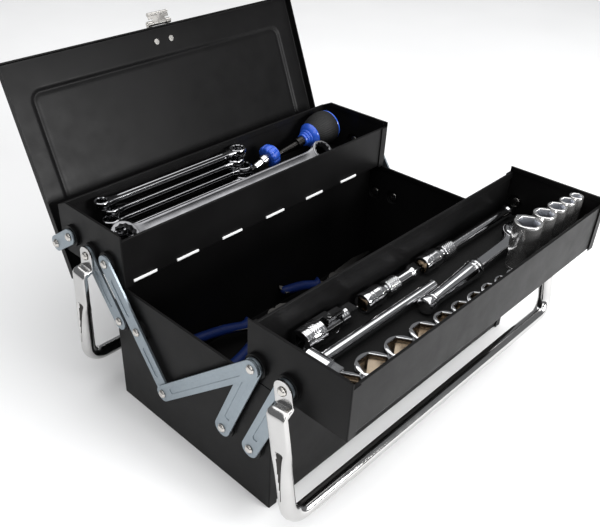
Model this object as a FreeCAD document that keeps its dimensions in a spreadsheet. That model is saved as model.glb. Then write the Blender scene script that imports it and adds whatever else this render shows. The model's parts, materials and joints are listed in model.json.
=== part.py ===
import FreeCAD, Part
import math
import os
import Sketcher
from FreeCAD import Vector, Rotation, Placement

# Two-way cantilever tool case, open, with its socket set and hand tools.
# Millimetres, +Z up, origin at the bottom centre of the lower box.
# -Y is the front, -X the end that carries the links nearest the viewer.

doc = FreeCAD.newDocument("cantilever_case")
sheet = doc.addObject("Spreadsheet::Sheet", "p")

SIZES = {
    # case
    "box_width": 352.0, "box_depth": 192.0, "box_height": 126.0, "skin": 1.2,
    "hem_height": 6.0, "flange": 9.0, "bend": 3.0,
    "tray_depth": 94.0, "tray_z": 126.8, "wall_height": 45.0, "end_height": 50.0,
    "front_tray_y": -164.0, "rear_tray_y": 77.5,
    # pivots of the links in the open pose
    "arm_mid_y": 59.9, "arm_mid_z": 93.4, "arm_len": 63.4, "arm_low_len": 57.16, "arm_angle": 36.5,
    "rear_link_dy": 25.0, "rear_link_dz": -2.0,
    "front_link_y": -47.2, "front_link_z": 58.7, "front_link_len": 90.0, "front_angle": 22.195,
    "front_link_gap": 31.0,
    "boss_radius": 10.0, "boss_height": 3.0, "layer_gap": 0.3, "link_skin": 2.0,
    "link_width": 16.0, "coupler_width": 14.8, "rivet_radius": 2.5, "rivet_head": 4.2, "rivet_head_len": 2.0,
    "hole_radius": 2.55, "groove_width": 5.0, "groove_deep": 0.6,
    # lid
    "lid_pivot_y": 150.9, "lid_pivot_z": 148.0, "lid_turn": 112.4, "lid_open_y": 165.2, "lid_open_z": 95.9, "lid_eye_in": 36.3031, "lid_eye_down": 4.4, "lid_top_z": 178.6,
    "lid_rear_y": 173.9, "lid_len": 196.8, "lid_width": 356.0, "lid_skirt": 9.0, "lid_front_skirt": 6.0,
    # handles
    "tube_radius": 6.5, "handle_len": 113.0, "handle_bend": 16.0, "tab_width": 17.0,
    "front_handle_out": 9.6, "rear_handle_out": 3.0, "handle_offset": 9.2,
    "leg_width": 17.6, "leg_skin": 6.0,
    # sockets and drive tools
    "mat_skin": 2.0, "socket_height": 23.0, "deep_height": 45.5, "drive_square": 9.5,
    "pad_len": 25.0,
    # cut-back rear top corner of the rear tray ends, and the turn of the ratchet as it lies
    "corner_run": 13.0, "corner_turn": 25.5, "ratchet_turn": 2.2,
    # pliers: lean of their plane, how far they lie open
    "pliers_lean": 60.0, "pliers_open": 12.0,
    # how far the driver and the spinner lie with their grips raised
    "driver_rise": 8.0, "spinner_rise": 18.0,
}
line = 1
for key in SIZES:
    sheet.set("A%d" % line, key)
    sheet.set("B%d" % line, str(SIZES[key]))
    sheet.setAlias("B%d" % line, key)
    line += 1
doc.recompute()
S = SIZES

NODES = {}


def bind(obj, prop, value):
    """A size given as text is an expression on the sheet, a number is fixed."""
    obj.setExpression(prop, str(value))
    return obj


def box(name, lx, ly, lz, x, y, z, rot=None):
    o = doc.addObject("Part::Box", name)
    if rot is not None:
        o.Placement = Placement(Vector(0, 0, 0), rot)
    for prop, val in (("Length", lx), ("Width", ly), ("Height", lz),
                      ("Placement.Base.x", x), ("Placement.Base.y", y), ("Placement.Base.z", z)):
        bind(o, prop, val)
    return o


ROT = {"x": Rotation(Vector(0, 1, 0), 90), "-x": Rotation(Vector(0, 1, 0), -90),
       "y": Rotation(Vector(1, 0, 0), -90), "-y": Rotation(Vector(1, 0, 0), 90),
       "z": Rotation(), "-z": Rotation(Vector(1, 0, 0), 180)}


def cyl(name, r, length, x, y, z, axis="z"):
    o = doc.addObject("Part::Cylinder", name)
    o.Placement = Placement(Vector(0, 0, 0), ROT[axis])
    for prop, val in (("Radius", r), ("Height", length),
                      ("Placement.Base.x", x), ("Placement.Base.y", y), ("Placement.Base.z", z)):
        bind(o, prop, val)
    return o


def cone(name, r1, r2, length, x, y, z, axis="z"):
    o = doc.addObject("Part::Cone", name)
    o.Placement = Placement(Vector(0, 0, 0), ROT[axis])
    for prop, val in (("Radius1", r1), ("Radius2", r2), ("Height", length),
                      ("Placement.Base.x", x), ("Placement.Base.y", y), ("Placement.Base.z", z)):
        bind(o, prop, val)
    return o


def prism(name, sides, across, length, x, y, z, axis="z"):
    """Regular prism given by its size across flats."""
    o = doc.addObject("Part::Prism", name)
    o.Placement = Placement(Vector(0, 0, 0), ROT[axis])
    o.Polygon = sides
    bind(o, "Circumradius", "(%s)/2/cos(180deg/%d)" % (across, sides))
    for prop, val in (("Height", length), ("Placement.Base.x", x),
                      ("Placement.Base.y", y), ("Placement.Base.z", z)):
        bind(o, prop, val)
    return o


def fuse(name, *items):
    o = doc.addObject("Part::MultiFuse", name)
    o.Shapes = list(items)
    o.Refine = True
    return o


def cut(name, base, *tools):
    tool = tools[0] if len(tools) == 1 else fuse(name + "_tools", *tools)
    o = doc.addObject("Part::Cut", name)
    o.Base = base
    o.Tool = tool
    return o


def group(name, items):
    o = doc.addObject("Part::Compound", name)
    o.Links = list(items)
    return o


def feature(name, shape, place=None):
    o = doc.addObject("Part::Feature", name)
    o.Shape = shape
    if place is not None:
        o.Placement = place
    return o


def node(name, obj):
    obj.Label = name
    NODES[name] = obj
    return obj


def sin(a):
    return math.sin(math.radians(a))


def cos(a):
    return math.cos(math.radians(a))


# ---------------------------------------------------------------- pivots (y, z)
def pivots():
    q = {}
    a = S["arm_angle"]
    g = S["front_angle"]
    q["arm_mid"] = (S["arm_mid_y"], S["arm_mid_z"])
    q["arm_top"] = (S["arm_mid_y"] + S["arm_len"] * sin(a), S["arm_mid_z"] + S["arm_len"] * cos(a))
    q["arm_low"] = (S["arm_mid_y"] - S["arm_low_len"] * sin(a), S["arm_mid_z"] - S["arm_low_len"] * cos(a))
    q["rear_low"] = (q["arm_mid"][0] + S["rear_link_dy"], q["arm_mid"][1] + S["rear_link_dz"])
    q["rear_top"] = (q["arm_top"][0] + S["rear_link_dy"], q["arm_top"][1] + S["rear_link_dz"])
    q["inner_low"] = (S["front_link_y"], S["front_link_z"])
    q["inner_top"] = (S["front_link_y"] - S["front_link_len"] * sin(g), S["front_link_z"] + S["front_link_len"] * cos(g))
    q["outer_low"] = (q["inner_low"][0] - S["front_link_gap"], q["inner_low"][1])
    q["outer_top"] = (q["inner_top"][0] - S["front_link_gap"], q["inner_top"][1])
    q["lid"] = (S["lid_pivot_y"], S["lid_pivot_z"])
    t = S["lid_turn"]
    q["lid_eye"] = (S["lid_open_y"] - S["lid_eye_in"] * cos(t) - S["lid_eye_down"] * sin(t),
                    S["lid_open_z"] + S["lid_eye_in"] * sin(t) - S["lid_eye_down"] * cos(t))
    return q


Q = pivots()
QX = {
    "arm_mid": ("p.arm_mid_y", "p.arm_mid_z"),
    "arm_top": ("p.arm_mid_y + p.arm_len*sin(p.arm_angle*1deg)", "p.arm_mid_z + p.arm_len*cos(p.arm_angle*1deg)"),
    "arm_low": ("p.arm_mid_y - p.arm_low_len*sin(p.arm_angle*1deg)", "p.arm_mid_z - p.arm_low_len*cos(p.arm_angle*1deg)"),
    "rear_low": ("p.arm_mid_y + p.rear_link_dy", "p.arm_mid_z + p.rear_link_dz"),
    "rear_top": ("p.arm_mid_y + p.rear_link_dy + p.arm_len*sin(p.arm_angle*1deg)",
                 "p.arm_mid_z + p.rear_link_dz + p.arm_len*cos(p.arm_angle*1deg)"),
    "inner_low": ("p.front_link_y", "p.front_link_z"),
    "inner_top": ("p.front_link_y - p.front_link_len*sin(p.front_angle*1deg)",
                  "p.front_link_z + p.front_link_len*cos(p.front_angle*1deg)"),
    "outer_low": ("p.front_link_y - p.front_link_gap", "p.front_link_z"),
    "outer_top": ("p.front_link_y - p.front_link_gap - p.front_link_len*sin(p.front_angle*1deg)",
                  "p.front_link_z + p.front_link_len*cos(p.front_angle*1deg)"),
    "lid": ("p.lid_pivot_y", "p.lid_pivot_z"),
}
HALF = "p.box_width/2"
LAYER1 = "(p.box_width/2 + p.boss_height + p.layer_gap)"
LAYER2 = "(p.box_width/2 + p.boss_height + 2*p.layer_gap + p.link_skin)"
SIDES = ((-1, "left", "-x"), (1, "right", "x"))


# ---------------------------------------------------------------- folded sheet trays
def channel(name, y0, depth, z0, height):
    """Front wall, floor and rear wall folded from one sheet, top edges hemmed inward."""
    inner = "(p.box_width - 2*p.skin - 0.1)"
    outer = box(name + "_outer", inner, "(%s) - 2*p.skin" % depth, height, "-%s/2" % inner,
                "(%s) + p.skin" % y0, z0)
    hollow = box(name + "_hollow", "p.box_width", "(%s) - 4*p.skin" % depth, height,
                 "-p.box_width/2", "(%s) + 2*p.skin" % y0, "(%s) + p.skin" % z0)
    shell = cut(name + "_shell", outer, hollow)
    hems = []
    for tag, yy in (("front", "(%s) + 2*p.skin" % y0), ("rear", "(%s) + (%s) - 3*p.skin" % (y0, depth))):
        hems.append(box(name + "_hem_" + tag, inner, "p.skin", "p.hem_height", "-%s/2" % inner, yy,
                        "(%s) + (%s) - p.hem_height" % (z0, height)))
    whole = fuse(name + "_sheet", shell, *hems)
    doc.recompute()
    low = min(e.CenterOfMass.z for e in whole.Shape.Edges)
    ids = []
    for i, e in enumerate(whole.Shape.Edges):
        c = e.CenterOfMass
        if abs(c.z - low) < 0.01 and e.Length > 300 and abs(c.x) < 0.01:
            ids.append((i + 1, S["bend"] - 0.5, S["bend"] - 0.5))
    f = doc.addObject("Part::Fillet", name)
    f.Base = whole
    f.Edges = ids
    return f


def end_plate(name, s, axis, y0, depth, z0, height, names, wall, corner=False):
    """Flanged end plate: it wraps the corners, carries pressed bosses and a rolled top edge."""
    sg = "%d*" % s
    x_in = HALF if s < 0 else "(p.box_width/2 - p.skin)"
    plate_x = "-p.box_width/2" if s < 0 else "p.box_width/2 - p.skin"
    flange_x = "-p.box_width/2" if s < 0 else "p.box_width/2 - p.flange"
    plate = box(name + "_plate", "p.skin", depth, height, plate_x, y0, z0)
    parts = [plate]
    parts.append(box(name + "_ff", "p.flange", "p.skin", wall, flange_x, y0, z0))
    parts.append(box(name + "_fr", "p.flange", "p.skin", wall, flange_x, "(%s)+(%s)-p.skin" % (y0, depth), z0))
    hem_x = "-p.box_width/2 + p.skin - 0.02" if s < 0 else "p.box_width/2 - 2*p.skin + 0.02"
    parts.append(box(name + "_hem", "p.skin", "(%s) - 8*p.skin" % depth, "4", hem_x, "(%s)+4*p.skin" % y0,
                     "(%s)+(%s)-4" % (z0, height)))
    tools = []
    if corner:
        # the rear top corner is cut back, so that the lid clears it as it swings over
        tools.append(box(name + "_corner", "20", "30", "14", "%s - 10" % plate_x, "(%s) + (%s) - p.corner_run" % (y0, depth), "(%s) + (%s)" % (z0, height),
                         Rotation(Vector(1, 0, 0), -S["corner_turn"])))
    for n in names:
        yy, zz = QX[n]
        parts.append(cyl(name + "_boss_" + n, "p.boss_radius", "p.boss_height + p.skin/2",
                         sg + "(p.box_width/2 - p.skin/2)", yy, zz, axis))
        tools.append(cyl(name + "_dimple_" + n, "p.boss_radius - 2*p.skin", "p.boss_height + 0.5",
                         sg + "(p.box_width/2 - p.skin - 0.5)", yy, zz, axis))
        tools.append(cyl(name + "_hole_" + n, "p.hole_radius", "12", sg + "(p.box_width/2 - 6)", yy, zz, axis))
    body = cut(name + "_cut", fuse(name + "_sum", *parts), *tools)
    doc.recompute()
    ids = []
    for i, e in enumerate(body.Shape.Edges):
        c = e.CenterOfMass
        vx = abs(abs(c.x) - S["box_width"] / 2) < 0.01
        if vx and len(e.Vertexes) == 2:
            d = e.Vertexes[0].Point.sub(e.Vertexes[1].Point)
            if abs(d.z) > 0.8 * min(S["wall_height"], S["box_height"]) - 1 and abs(d.y) < 0.01:
                ids.append((i + 1, S["skin"] * 0.9, S["skin"] * 0.9))
    f = doc.addObject("Part::Fillet", name)
    f.Base = body
    f.Edges = ids
    return f


def rivet(name, s, axis, n, stack, headed=True):
    """Pin through a boss and its links; stack is the outer face it clamps."""
    yy, zz = QX[n]
    sg = "%d*" % s
    start = "(p.box_width/2 + p.boss_height - p.skin - 1.4)"
    tail = cyl(name + "_tail", "p.rivet_head", "1.4", sg + start, yy, zz, axis)
    if not headed:
        return fuse(name, tail, cyl(name + "_shank", "p.rivet_radius", "%s - %s" % (stack, start), sg + start, yy, zz, axis))
    shank = cyl(name + "_shank", "p.rivet_radius", "%s + p.layer_gap + 0.5 - %s" % (stack, start), sg + start, yy, zz, axis)
    head = cone(name + "_head", "p.rivet_head", "p.rivet_head*0.62", "p.rivet_head_len",
                "%d*(%s + p.layer_gap)" % (s, stack), yy, zz, axis)
    return fuse(name, tail, shank, head)


STACK1 = "(%s + p.link_skin)" % LAYER1
STACK2 = "(%s + p.link_skin)" % LAYER2

half_d = "-p.box_depth/2"
node("lower_box_wrap", channel("lower_box_wrap", half_d, "p.box_depth", "0", "p.box_height"))
for s, side, axis in SIDES:
    node("lower_box_%s_end" % side,
         end_plate("lower_box_%s_end" % side, s, axis, half_d, "p.box_depth", "0", "p.box_height",
                   ("arm_mid", "rear_low", "inner_low", "outer_low"), "p.box_height"))
node("lower_box_rivets", group("lower_box_rivets", [
    rivet("lbr_%s_%s" % (n, side), s, axis, n, STACK1)
    for s, side, axis in SIDES for n in ("arm_mid", "rear_low", "inner_low", "outer_low")]))

for tray, ty, names in (("rear_tray", "p.rear_tray_y", ("arm_top", "rear_top", "lid")),
                        ("front_tray", "p.front_tray_y", ("inner_top", "outer_top"))):
    node(tray + "_wrap", channel(tray + "_wrap", ty, "p.tray_depth", "p.tray_z", "p.wall_height"))
    for s, side, axis in SIDES:
        node("%s_%s_end" % (tray, side),
             end_plate("%s_%s_end" % (tray, side), s, axis, ty, "p.tray_depth", "p.tray_z", "p.end_height",
                       names, "p.wall_height", tray == "rear_tray"))
    node(tray + "_rivets", group(tray + "_rivets", [
        rivet("%s_rv_%s_%s" % (tray, n, side), s, axis, n, STACK2 if n in ("rear_top", "outer_top") else STACK1, n != "inner_top")
        for s, side, axis in SIDES for n in names]))

# pale glide pads under the front edge of the rear tray
pads = []
for i, mid in enumerate((-154.2, -107.0, -53.0, 4.0, 61.0, 115.0)):
    xx = "%s - p.pad_len/2" % mid
    pads.append(box("glide_pad_%d" % i, "p.pad_len", "1.6", "2.4", xx, "p.rear_tray_y + p.skin - 1.6", "p.tray_z + 2.6"))
node("rear_tray_glide_pads", group("rear_tray_glide_pads", pads))
node("front_tray_mat", box("front_tray_mat", "p.box_width - 2*p.skin - 4", "p.tray_depth - 6*p.skin - 1", "p.mat_skin",
                           "-(p.box_width - 2*p.skin - 4)/2", "p.front_tray_y + 3*p.skin + 0.5", "p.tray_z + p.skin"))


# ---------------------------------------------------------------- links, pressed from strip
def slot_sketch(body, name, length_num, length_ex, r_num, r_ex, lift=None, start=0.0):
    sk = body.newObject("Sketcher::SketchObject", name)
    plane = [f for f in body.Origin.OriginFeatures if f.Role == "XY_Plane"][0]
    sk.AttachmentSupport = [(plane, "")]
    sk.MapMode = "FlatFace"
    if lift is not None:
        sk.setExpression("AttachmentOffset.Base.z", lift)
    n = Vector(0, 0, 1)
    end = start + length_num
    sk.addGeometry(Part.ArcOfCircle(Part.Circle(Vector(start, 0, 0), n, r_num), math.pi / 2, 3 * math.pi / 2), False)
    sk.addGeometry(Part.ArcOfCircle(Part.Circle(Vector(end, 0, 0), n, r_num), -math.pi / 2, math.pi / 2), False)
    sk.addGeometry(Part.LineSegment(Vector(start, -r_num, 0), Vector(end, -r_num, 0)), False)
    sk.addGeometry(Part.LineSegment(Vector(end, r_num, 0), Vector(start, r_num, 0)), False)
    for a, ap, b, bp in ((0, 2, 2, 1), (2, 2, 1, 1), (1, 2, 3, 1), (3, 2, 0, 1)):
        sk.addConstraint(Sketcher.Constraint("Tangent", a, ap, b, bp))
    if start == 0.0:
        sk.addConstraint(Sketcher.Constraint("Coincident", 0, 3, -1, 1))
    else:
        sk.addConstraint(Sketcher.Constraint("PointOnObject", 0, 3, -1))
        sk.addConstraint(Sketcher.Constraint("DistanceX", -1, 1, 0, 3, start))
    sk.addConstraint(Sketcher.Constraint("PointOnObject", 1, 3, -1))
    sk.addConstraint(Sketcher.Constraint("Equal", 0, 1))
    i = sk.addConstraint(Sketcher.Constraint("Radius", 0, r_num))
    sk.setExpression("Constraints[%d]" % i, r_ex)
    i = sk.addConstraint(Sketcher.Constraint("DistanceX", 0, 3, 1, 3, length_num))
    sk.setExpression("Constraints[%d]" % i, length_ex)
    return sk


def strip_link(name, s, a, b, length_num, length_ex, holes, layer_num, width="link_width"):
    """Rounded strip from pivot a to pivot b with pivot holes and a pressed groove."""
    body = doc.addObject("PartDesign::Body", name)
    r_num = S[width] / 2
    sk = slot_sketch(body, name + "_outline", length_num, length_ex, r_num, "p.%s/2" % width)
    for at_num, at_ex in holes:
        g = sk.addGeometry(Part.Circle(Vector(at_num, 0, 0), Vector(0, 0, 1), S["hole_radius"]), False)
        i = sk.addConstraint(Sketcher.Constraint("Radius", g, S["hole_radius"]))
        sk.setExpression("Constraints[%d]" % i, "p.hole_radius")
        if at_num == 0:
            sk.addConstraint(Sketcher.Constraint("Coincident", g, 3, -1, 1))
        else:
            sk.addConstraint(Sketcher.Constraint("PointOnObject", g, 3, -1))
            i = sk.addConstraint(Sketcher.Constraint("DistanceX", -1, 1, g, 3, at_num))
            sk.setExpression("Constraints[%d]" % i, at_ex)
    pad = body.newObject("PartDesign::Pad", name + "_strip")
    pad.Profile = sk
    pad.setExpression("Length", "p.link_skin")
    doc.recompute()
    before = body.Shape.Volume
    marks = [0.0] + sorted(h[0] for h in holes if h[0] > 0.5) if len(holes) > 1 else [0.0]
    if length_num - marks[-1] > 1:
        marks.append(length_num)
    grooves = 0
    for k in range(len(marks) - 1):
        lo, hi = marks[k], marks[k + 1]
        if hi - lo < 45:
            continue
        grooves += 1
        r_g = S["groove_width"] / 2
        run = hi - lo - 34.0
        gs = slot_sketch(body, "%s_groove_%d" % (name, k), run, "(%s) - 34" % ("%s" % (hi - lo)), r_g, "p.groove_width/2", "p.link_skin", lo + 17.0)
        pk = body.newObject("PartDesign::Pocket", "%s_press_%d" % (name, k))
        pk.Profile = gs
        pk.setExpression("Length", "p.groove_deep")
        doc.recompute()
    if grooves and not body.Shape.Volume < before:
        raise RuntimeError("groove did not cut: " + name)
    dy, dz = b[0] - a[0], b[1] - a[1]
    length = math.hypot(dy, dz)
    ux = Vector(0, dy / length, dz / length)
    uz = Vector(s, 0, 0)
    uy = uz.cross(ux)
    m = FreeCAD.Matrix(ux.x, uy.x, uz.x, 0, ux.y, uy.y, uz.y, 0, ux.z, uy.z, uz.z, 0, 0, 0, 0, 1)
    pl = Placement(m)
    pl.Base = Vector(s * layer_num, a[0], a[1])
    body.Placement = pl
    return body


L1 = S["box_width"] / 2 + S["boss_height"] + S["layer_gap"]
L2 = L1 + S["link_skin"] + S["layer_gap"]
span = math.hypot(Q["arm_low"][0] - Q["inner_top"][0], Q["arm_low"][1] - Q["inner_top"][1])
SPAN_EX = ("sqrt((%s - (%s))^2 + (%s - (%s))^2)" % (QX["arm_low"][0], QX["inner_top"][0], QX["arm_low"][1], QX["inner_top"][1]))
EYE_Y = "(p.lid_open_y - p.lid_eye_in*cos(p.lid_turn*1deg) - p.lid_eye_down*sin(p.lid_turn*1deg))"
EYE_Z = "(p.lid_open_z + p.lid_eye_in*sin(p.lid_turn*1deg) - p.lid_eye_down*cos(p.lid_turn*1deg))"
LID_ARM_EX = "sqrt((p.lid_pivot_y - %s)^2 + (p.lid_pivot_z - %s)^2)" % (EYE_Y, EYE_Z)
lid_arm = math.hypot(Q["lid"][0] - Q["lid_eye"][0], Q["lid"][1] - Q["lid_eye"][1])
for label, a, b, ln, le, holes, layer in (
        ("main_arms", "arm_top", "arm_low", S["arm_len"] + S["arm_low_len"], "p.arm_len + p.arm_low_len",
         ((0, "0"), (S["arm_len"], "p.arm_len"), (S["arm_len"] + S["arm_low_len"], "p.arm_len + p.arm_low_len")), L1),
        ("rear_tray_links", "rear_top", "rear_low", S["arm_len"], "p.arm_len",
         ((0, "0"), (S["arm_len"], "p.arm_len")), L1),
        ("front_tray_inner_links", "inner_top", "inner_low", S["front_link_len"], "p.front_link_len",
         ((0, "0"), (S["front_link_len"], "p.front_link_len")), L1),
        ("front_tray_outer_links", "outer_top", "outer_low", S["front_link_len"], "p.front_link_len",
         ((0, "0"), (S["front_link_len"], "p.front_link_len")), L1),
        ("coupler_links", "inner_top", "arm_low", span, SPAN_EX,
         ((0, "0"), (span, SPAN_EX)), L2),
        ("lid_arms", "lid", "lid_eye", lid_arm, LID_ARM_EX, ((0, "0"), (lid_arm, LID_ARM_EX)), L1)):
    wide = "coupler_width" if label in ("coupler_links", "lid_arms") else "link_width"
    pair = [strip_link("%s_%s" % (label, side), s, Q[a], Q[b], ln, le, holes, layer, wide) for s, side, axis in SIDES]
    node(label, group(label, pair))

# rivets at the open front end of the coupler, seated in the coupler only,
# and the working rivets between the coupler and the low end of the main arms
cr, ar = [], []
for s, side, axis in SIDES:
    yy, zz = QX["inner_top"]
    sh = cyl("cr_shank_" + side, "p.rivet_radius", "p.link_skin", "%d*%s" % (s, LAYER2), yy, zz, axis)
    hd = cone("cr_head_" + side, "p.rivet_head", "p.rivet_head*0.62", "p.rivet_head_len",
              "%d*(%s + p.link_skin)" % (s, LAYER2), yy, zz, axis)
    cr.append(fuse("coupler_rivet_" + side, sh, hd))
    yy, zz = QX["arm_low"]
    tail = cyl("ar_tail_" + side, "p.rivet_head", "1.4", "%d*(%s - 1.4)" % (s, LAYER1), yy, zz, axis)
    sh = cyl("ar_shank_" + side, "p.rivet_radius", "%s - %s + p.layer_gap + 1.5" % (STACK2, LAYER1), "%d*(%s - 0.7)" % (s, LAYER1), yy, zz, axis)
    hd = cone("ar_head_" + side, "p.rivet_head", "p.rivet_head*0.62", "p.rivet_head_len", "%d*(%s + p.layer_gap)" % (s, STACK2), yy, zz, axis)
    ar.append(fuse("arm_rivet_" + side, tail, sh, hd))
node("coupler_rivets", group("coupler_rivets", cr))
node("main_arm_rivets", group("main_arm_rivets", ar))

# ---------------------------------------------------------------- lid, made shut and swung open on its arms
def swing(name, source):
    """A piece modelled on the shut lid, shown in the open pose."""
    doc.recompute()
    sh = source.Shape.copy()
    sh.rotate(Vector(0, S["lid_rear_y"], S["lid_top_z"]), Vector(1, 0, 0), -S["lid_turn"])
    sh.translate(Vector(0, S["lid_open_y"] - S["lid_rear_y"], S["lid_open_z"] - S["lid_top_z"]))
    o = feature(name, sh)
    return o


front_y = "(p.lid_rear_y - p.lid_len)"
lid_outer = box("lid_outer", "p.lid_width", "p.lid_len", "p.lid_skirt", "-p.lid_width/2", front_y, "p.lid_top_z - p.lid_skirt")
lid_hollow = box("lid_hollow", "p.lid_width - 2*p.skin", "p.lid_len - 2*p.skin", "p.lid_skirt", "-p.lid_width/2 + p.skin",
                 front_y + " + p.skin", "p.lid_top_z - p.lid_skirt - p.skin")
lid_bead_out = box("lid_bead_out", "p.lid_width - 44", "p.lid_len - 56", "1.4", "-(p.lid_width - 44)/2", front_y + " + 28", "p.lid_top_z - 0.01")
lid_bead_in = box("lid_bead_in", "p.lid_width - 48", "p.lid_len - 60", "1.2", "-(p.lid_width - 48)/2", front_y + " + 30", "p.lid_top_z - p.skin - 0.05")
lid_holes = [cyl("lid_hole_%d" % i, "1.6", "6", str(xx), front_y + " + 14", "p.lid_top_z - 3", "z") for i, xx in enumerate((-9, 9))]
lid_lift = box("lid_lift", "p.lid_width + 2", "6", "p.lid_skirt - p.lid_front_skirt", "-p.lid_width/2 - 1", front_y + " - 1", "p.lid_top_z - p.lid_skirt")
for s, side, axis in SIDES:
    lid_holes.append(cyl("lid_eye_hole_" + side, "p.hole_radius", "8", "%d*(p.lid_width/2 - 4)" % s, "p.lid_rear_y - p.lid_eye_in", "p.lid_top_z - p.lid_eye_down", axis))
lid_shell = cut("lid_shell", fuse("lid_sum", cut("lid_skin", lid_outer, lid_hollow), lid_bead_out), lid_bead_in, lid_lift, *lid_holes)
doc.recompute()
ids = []
for i, e in enumerate(lid_shell.Shape.Edges):
    c = e.CenterOfMass
    if len(e.Vertexes) == 2:
        d = e.Vertexes[0].Point.sub(e.Vertexes[1].Point)
        if abs(d.z) > 4 and abs(d.x) < 0.01 and abs(d.y) < 0.01 and abs(abs(c.x) - S["lid_width"] / 2) < 0.01:
            ids.append((i + 1, 1.1, 1.1))
        if abs(c.z - S["lid_top_z"]) < 0.01 and e.Length > 150 and (abs(abs(c.x) - S["lid_width"] / 2) < 0.01 or abs(c.x) < 0.01) \
                and (abs(c.y - S["lid_rear_y"]) < 0.01 or abs(c.y - S["lid_rear_y"] + S["lid_len"]) < 0.01 or abs(abs(c.x) - S["lid_width"] / 2) < 0.01):
            ids.append((i + 1, 1.1, 1.1))
lid_fillet = doc.addObject("Part::Fillet", "lid_fillet")
lid_fillet.Base = lid_shell
lid_fillet.Edges = ids
node("lid_panel", swing("lid_panel", lid_fillet))

# rivets in the lid's side skirts, each carrying the far eye of a lid arm
lr = []
for s, side, axis in SIDES:
    ey, ez = "p.lid_rear_y - p.lid_eye_in", "p.lid_top_z - p.lid_eye_down"
    start = "(p.lid_width/2 - p.skin + 0.1)"
    lr.append(fuse("lid_rivet_" + side,
                   cyl("lid_rivet_shank_" + side, "p.rivet_radius", "%s + p.layer_gap + 0.5 - %s" % (STACK1, start), "%d*%s" % (s, start), ey, ez, axis),
                   cyl("lid_rivet_collar_" + side, "3.6", "%s - p.layer_gap - p.lid_width/2" % LAYER1, "%d*(p.lid_width/2)" % s, ey, ez, axis),
                   cone("lid_rivet_head_" + side, "p.rivet_head", "p.rivet_head*0.62", "p.rivet_head_len", "%d*(%s + p.layer_gap)" % (s, STACK1), ey, ez, axis)))
for i, xx in enumerate((-9, 9)):
    lr.append(fuse("latch_rivet_%d" % i,
                   cyl("latch_rivet_tail_%d" % i, "2.8", "1.0", str(xx), front_y + " + 14", "p.lid_top_z - p.skin - 1.0", "z"),
                   cyl("latch_rivet_shank_%d" % i, "1.5", "p.skin + 3.0", str(xx), front_y + " + 14", "p.lid_top_z - p.skin - 0.5", "z"),
                   cone("latch_rivet_head_%d" % i, "2.8", "1.8", "1.2", str(xx), front_y + " + 14", "p.lid_top_z + 1.2", "z")))
node("lid_rivets", swing("lid_rivets", group("lid_rivets_shut", lr)))

# latch: base plate on the lid top, pin ahead of the skirt, hinged hasp with a curled lip
base_plate = box("latch_plate", "28", "20", "1.2", "-14", front_y + " - 0.5", "p.lid_top_z")
knuckle = fuse("latch_knuckles",
               cyl("latch_knuckle_a", "2.6", "6", "-14", front_y + " - 3.2", "p.lid_top_z - 1.4", "x"),
               cyl("latch_knuckle_b", "2.6", "6", "8", front_y + " - 3.2", "p.lid_top_z - 1.4", "x"),
               box("latch_neck_a", "6", "3.6", "1.2", "-14", front_y + " - 3.2", "p.lid_top_z"),
               box("latch_neck_b", "6", "3.6", "1.2", "8", front_y + " - 3.2", "p.lid_top_z"))
pin_bore = cyl("latch_pin_bore", "1.3", "40", "-20", front_y + " - 3.2", "p.lid_top_z - 1.4", "x")
plate_holes = [cyl("latch_hole_%d" % i, "1.55", "6", str(xx), front_y + " + 14", "p.lid_top_z - 1", "z") for i, xx in enumerate((-9, 9))]
node("latch_base", swing("latch_base", cut("latch_base_shut", fuse("latch_base_sum", base_plate, knuckle), pin_bore, *plate_holes)))
node("latch_pin", swing("latch_pin", cyl("latch_pin_shut", "1.25", "29", "-14.5", front_y + " - 3.2", "p.lid_top_z - 1.4", "x")))
hasp = fuse("latch_hasp_sum",
            cyl("hasp_knuckle", "2.5", "15.2", "-7.6", front_y + " - 3.2", "p.lid_top_z - 1.4", "x"),
            box("hasp_leaf_neck", "15.2", "6", "1.2", "-7.6", front_y + " - 8.6", "p.lid_top_z - 3.6"),
            box("hasp_leaf", "24", "5", "1.2", "-12", front_y + " - 12", "p.lid_top_z - 3.6"),
            cyl("hasp_lip", "1.8", "24", "-12", front_y + " - 11.6", "p.lid_top_z - 2.6", "x"))
hasp_bore = cyl("hasp_bore", "1.3", "40", "-20", front_y + " - 3.2", "p.lid_top_z - 1.4", "x")
node("latch_hasp", swing("latch_hasp", cut("latch_hasp_shut", hasp, hasp_bore)))


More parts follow.
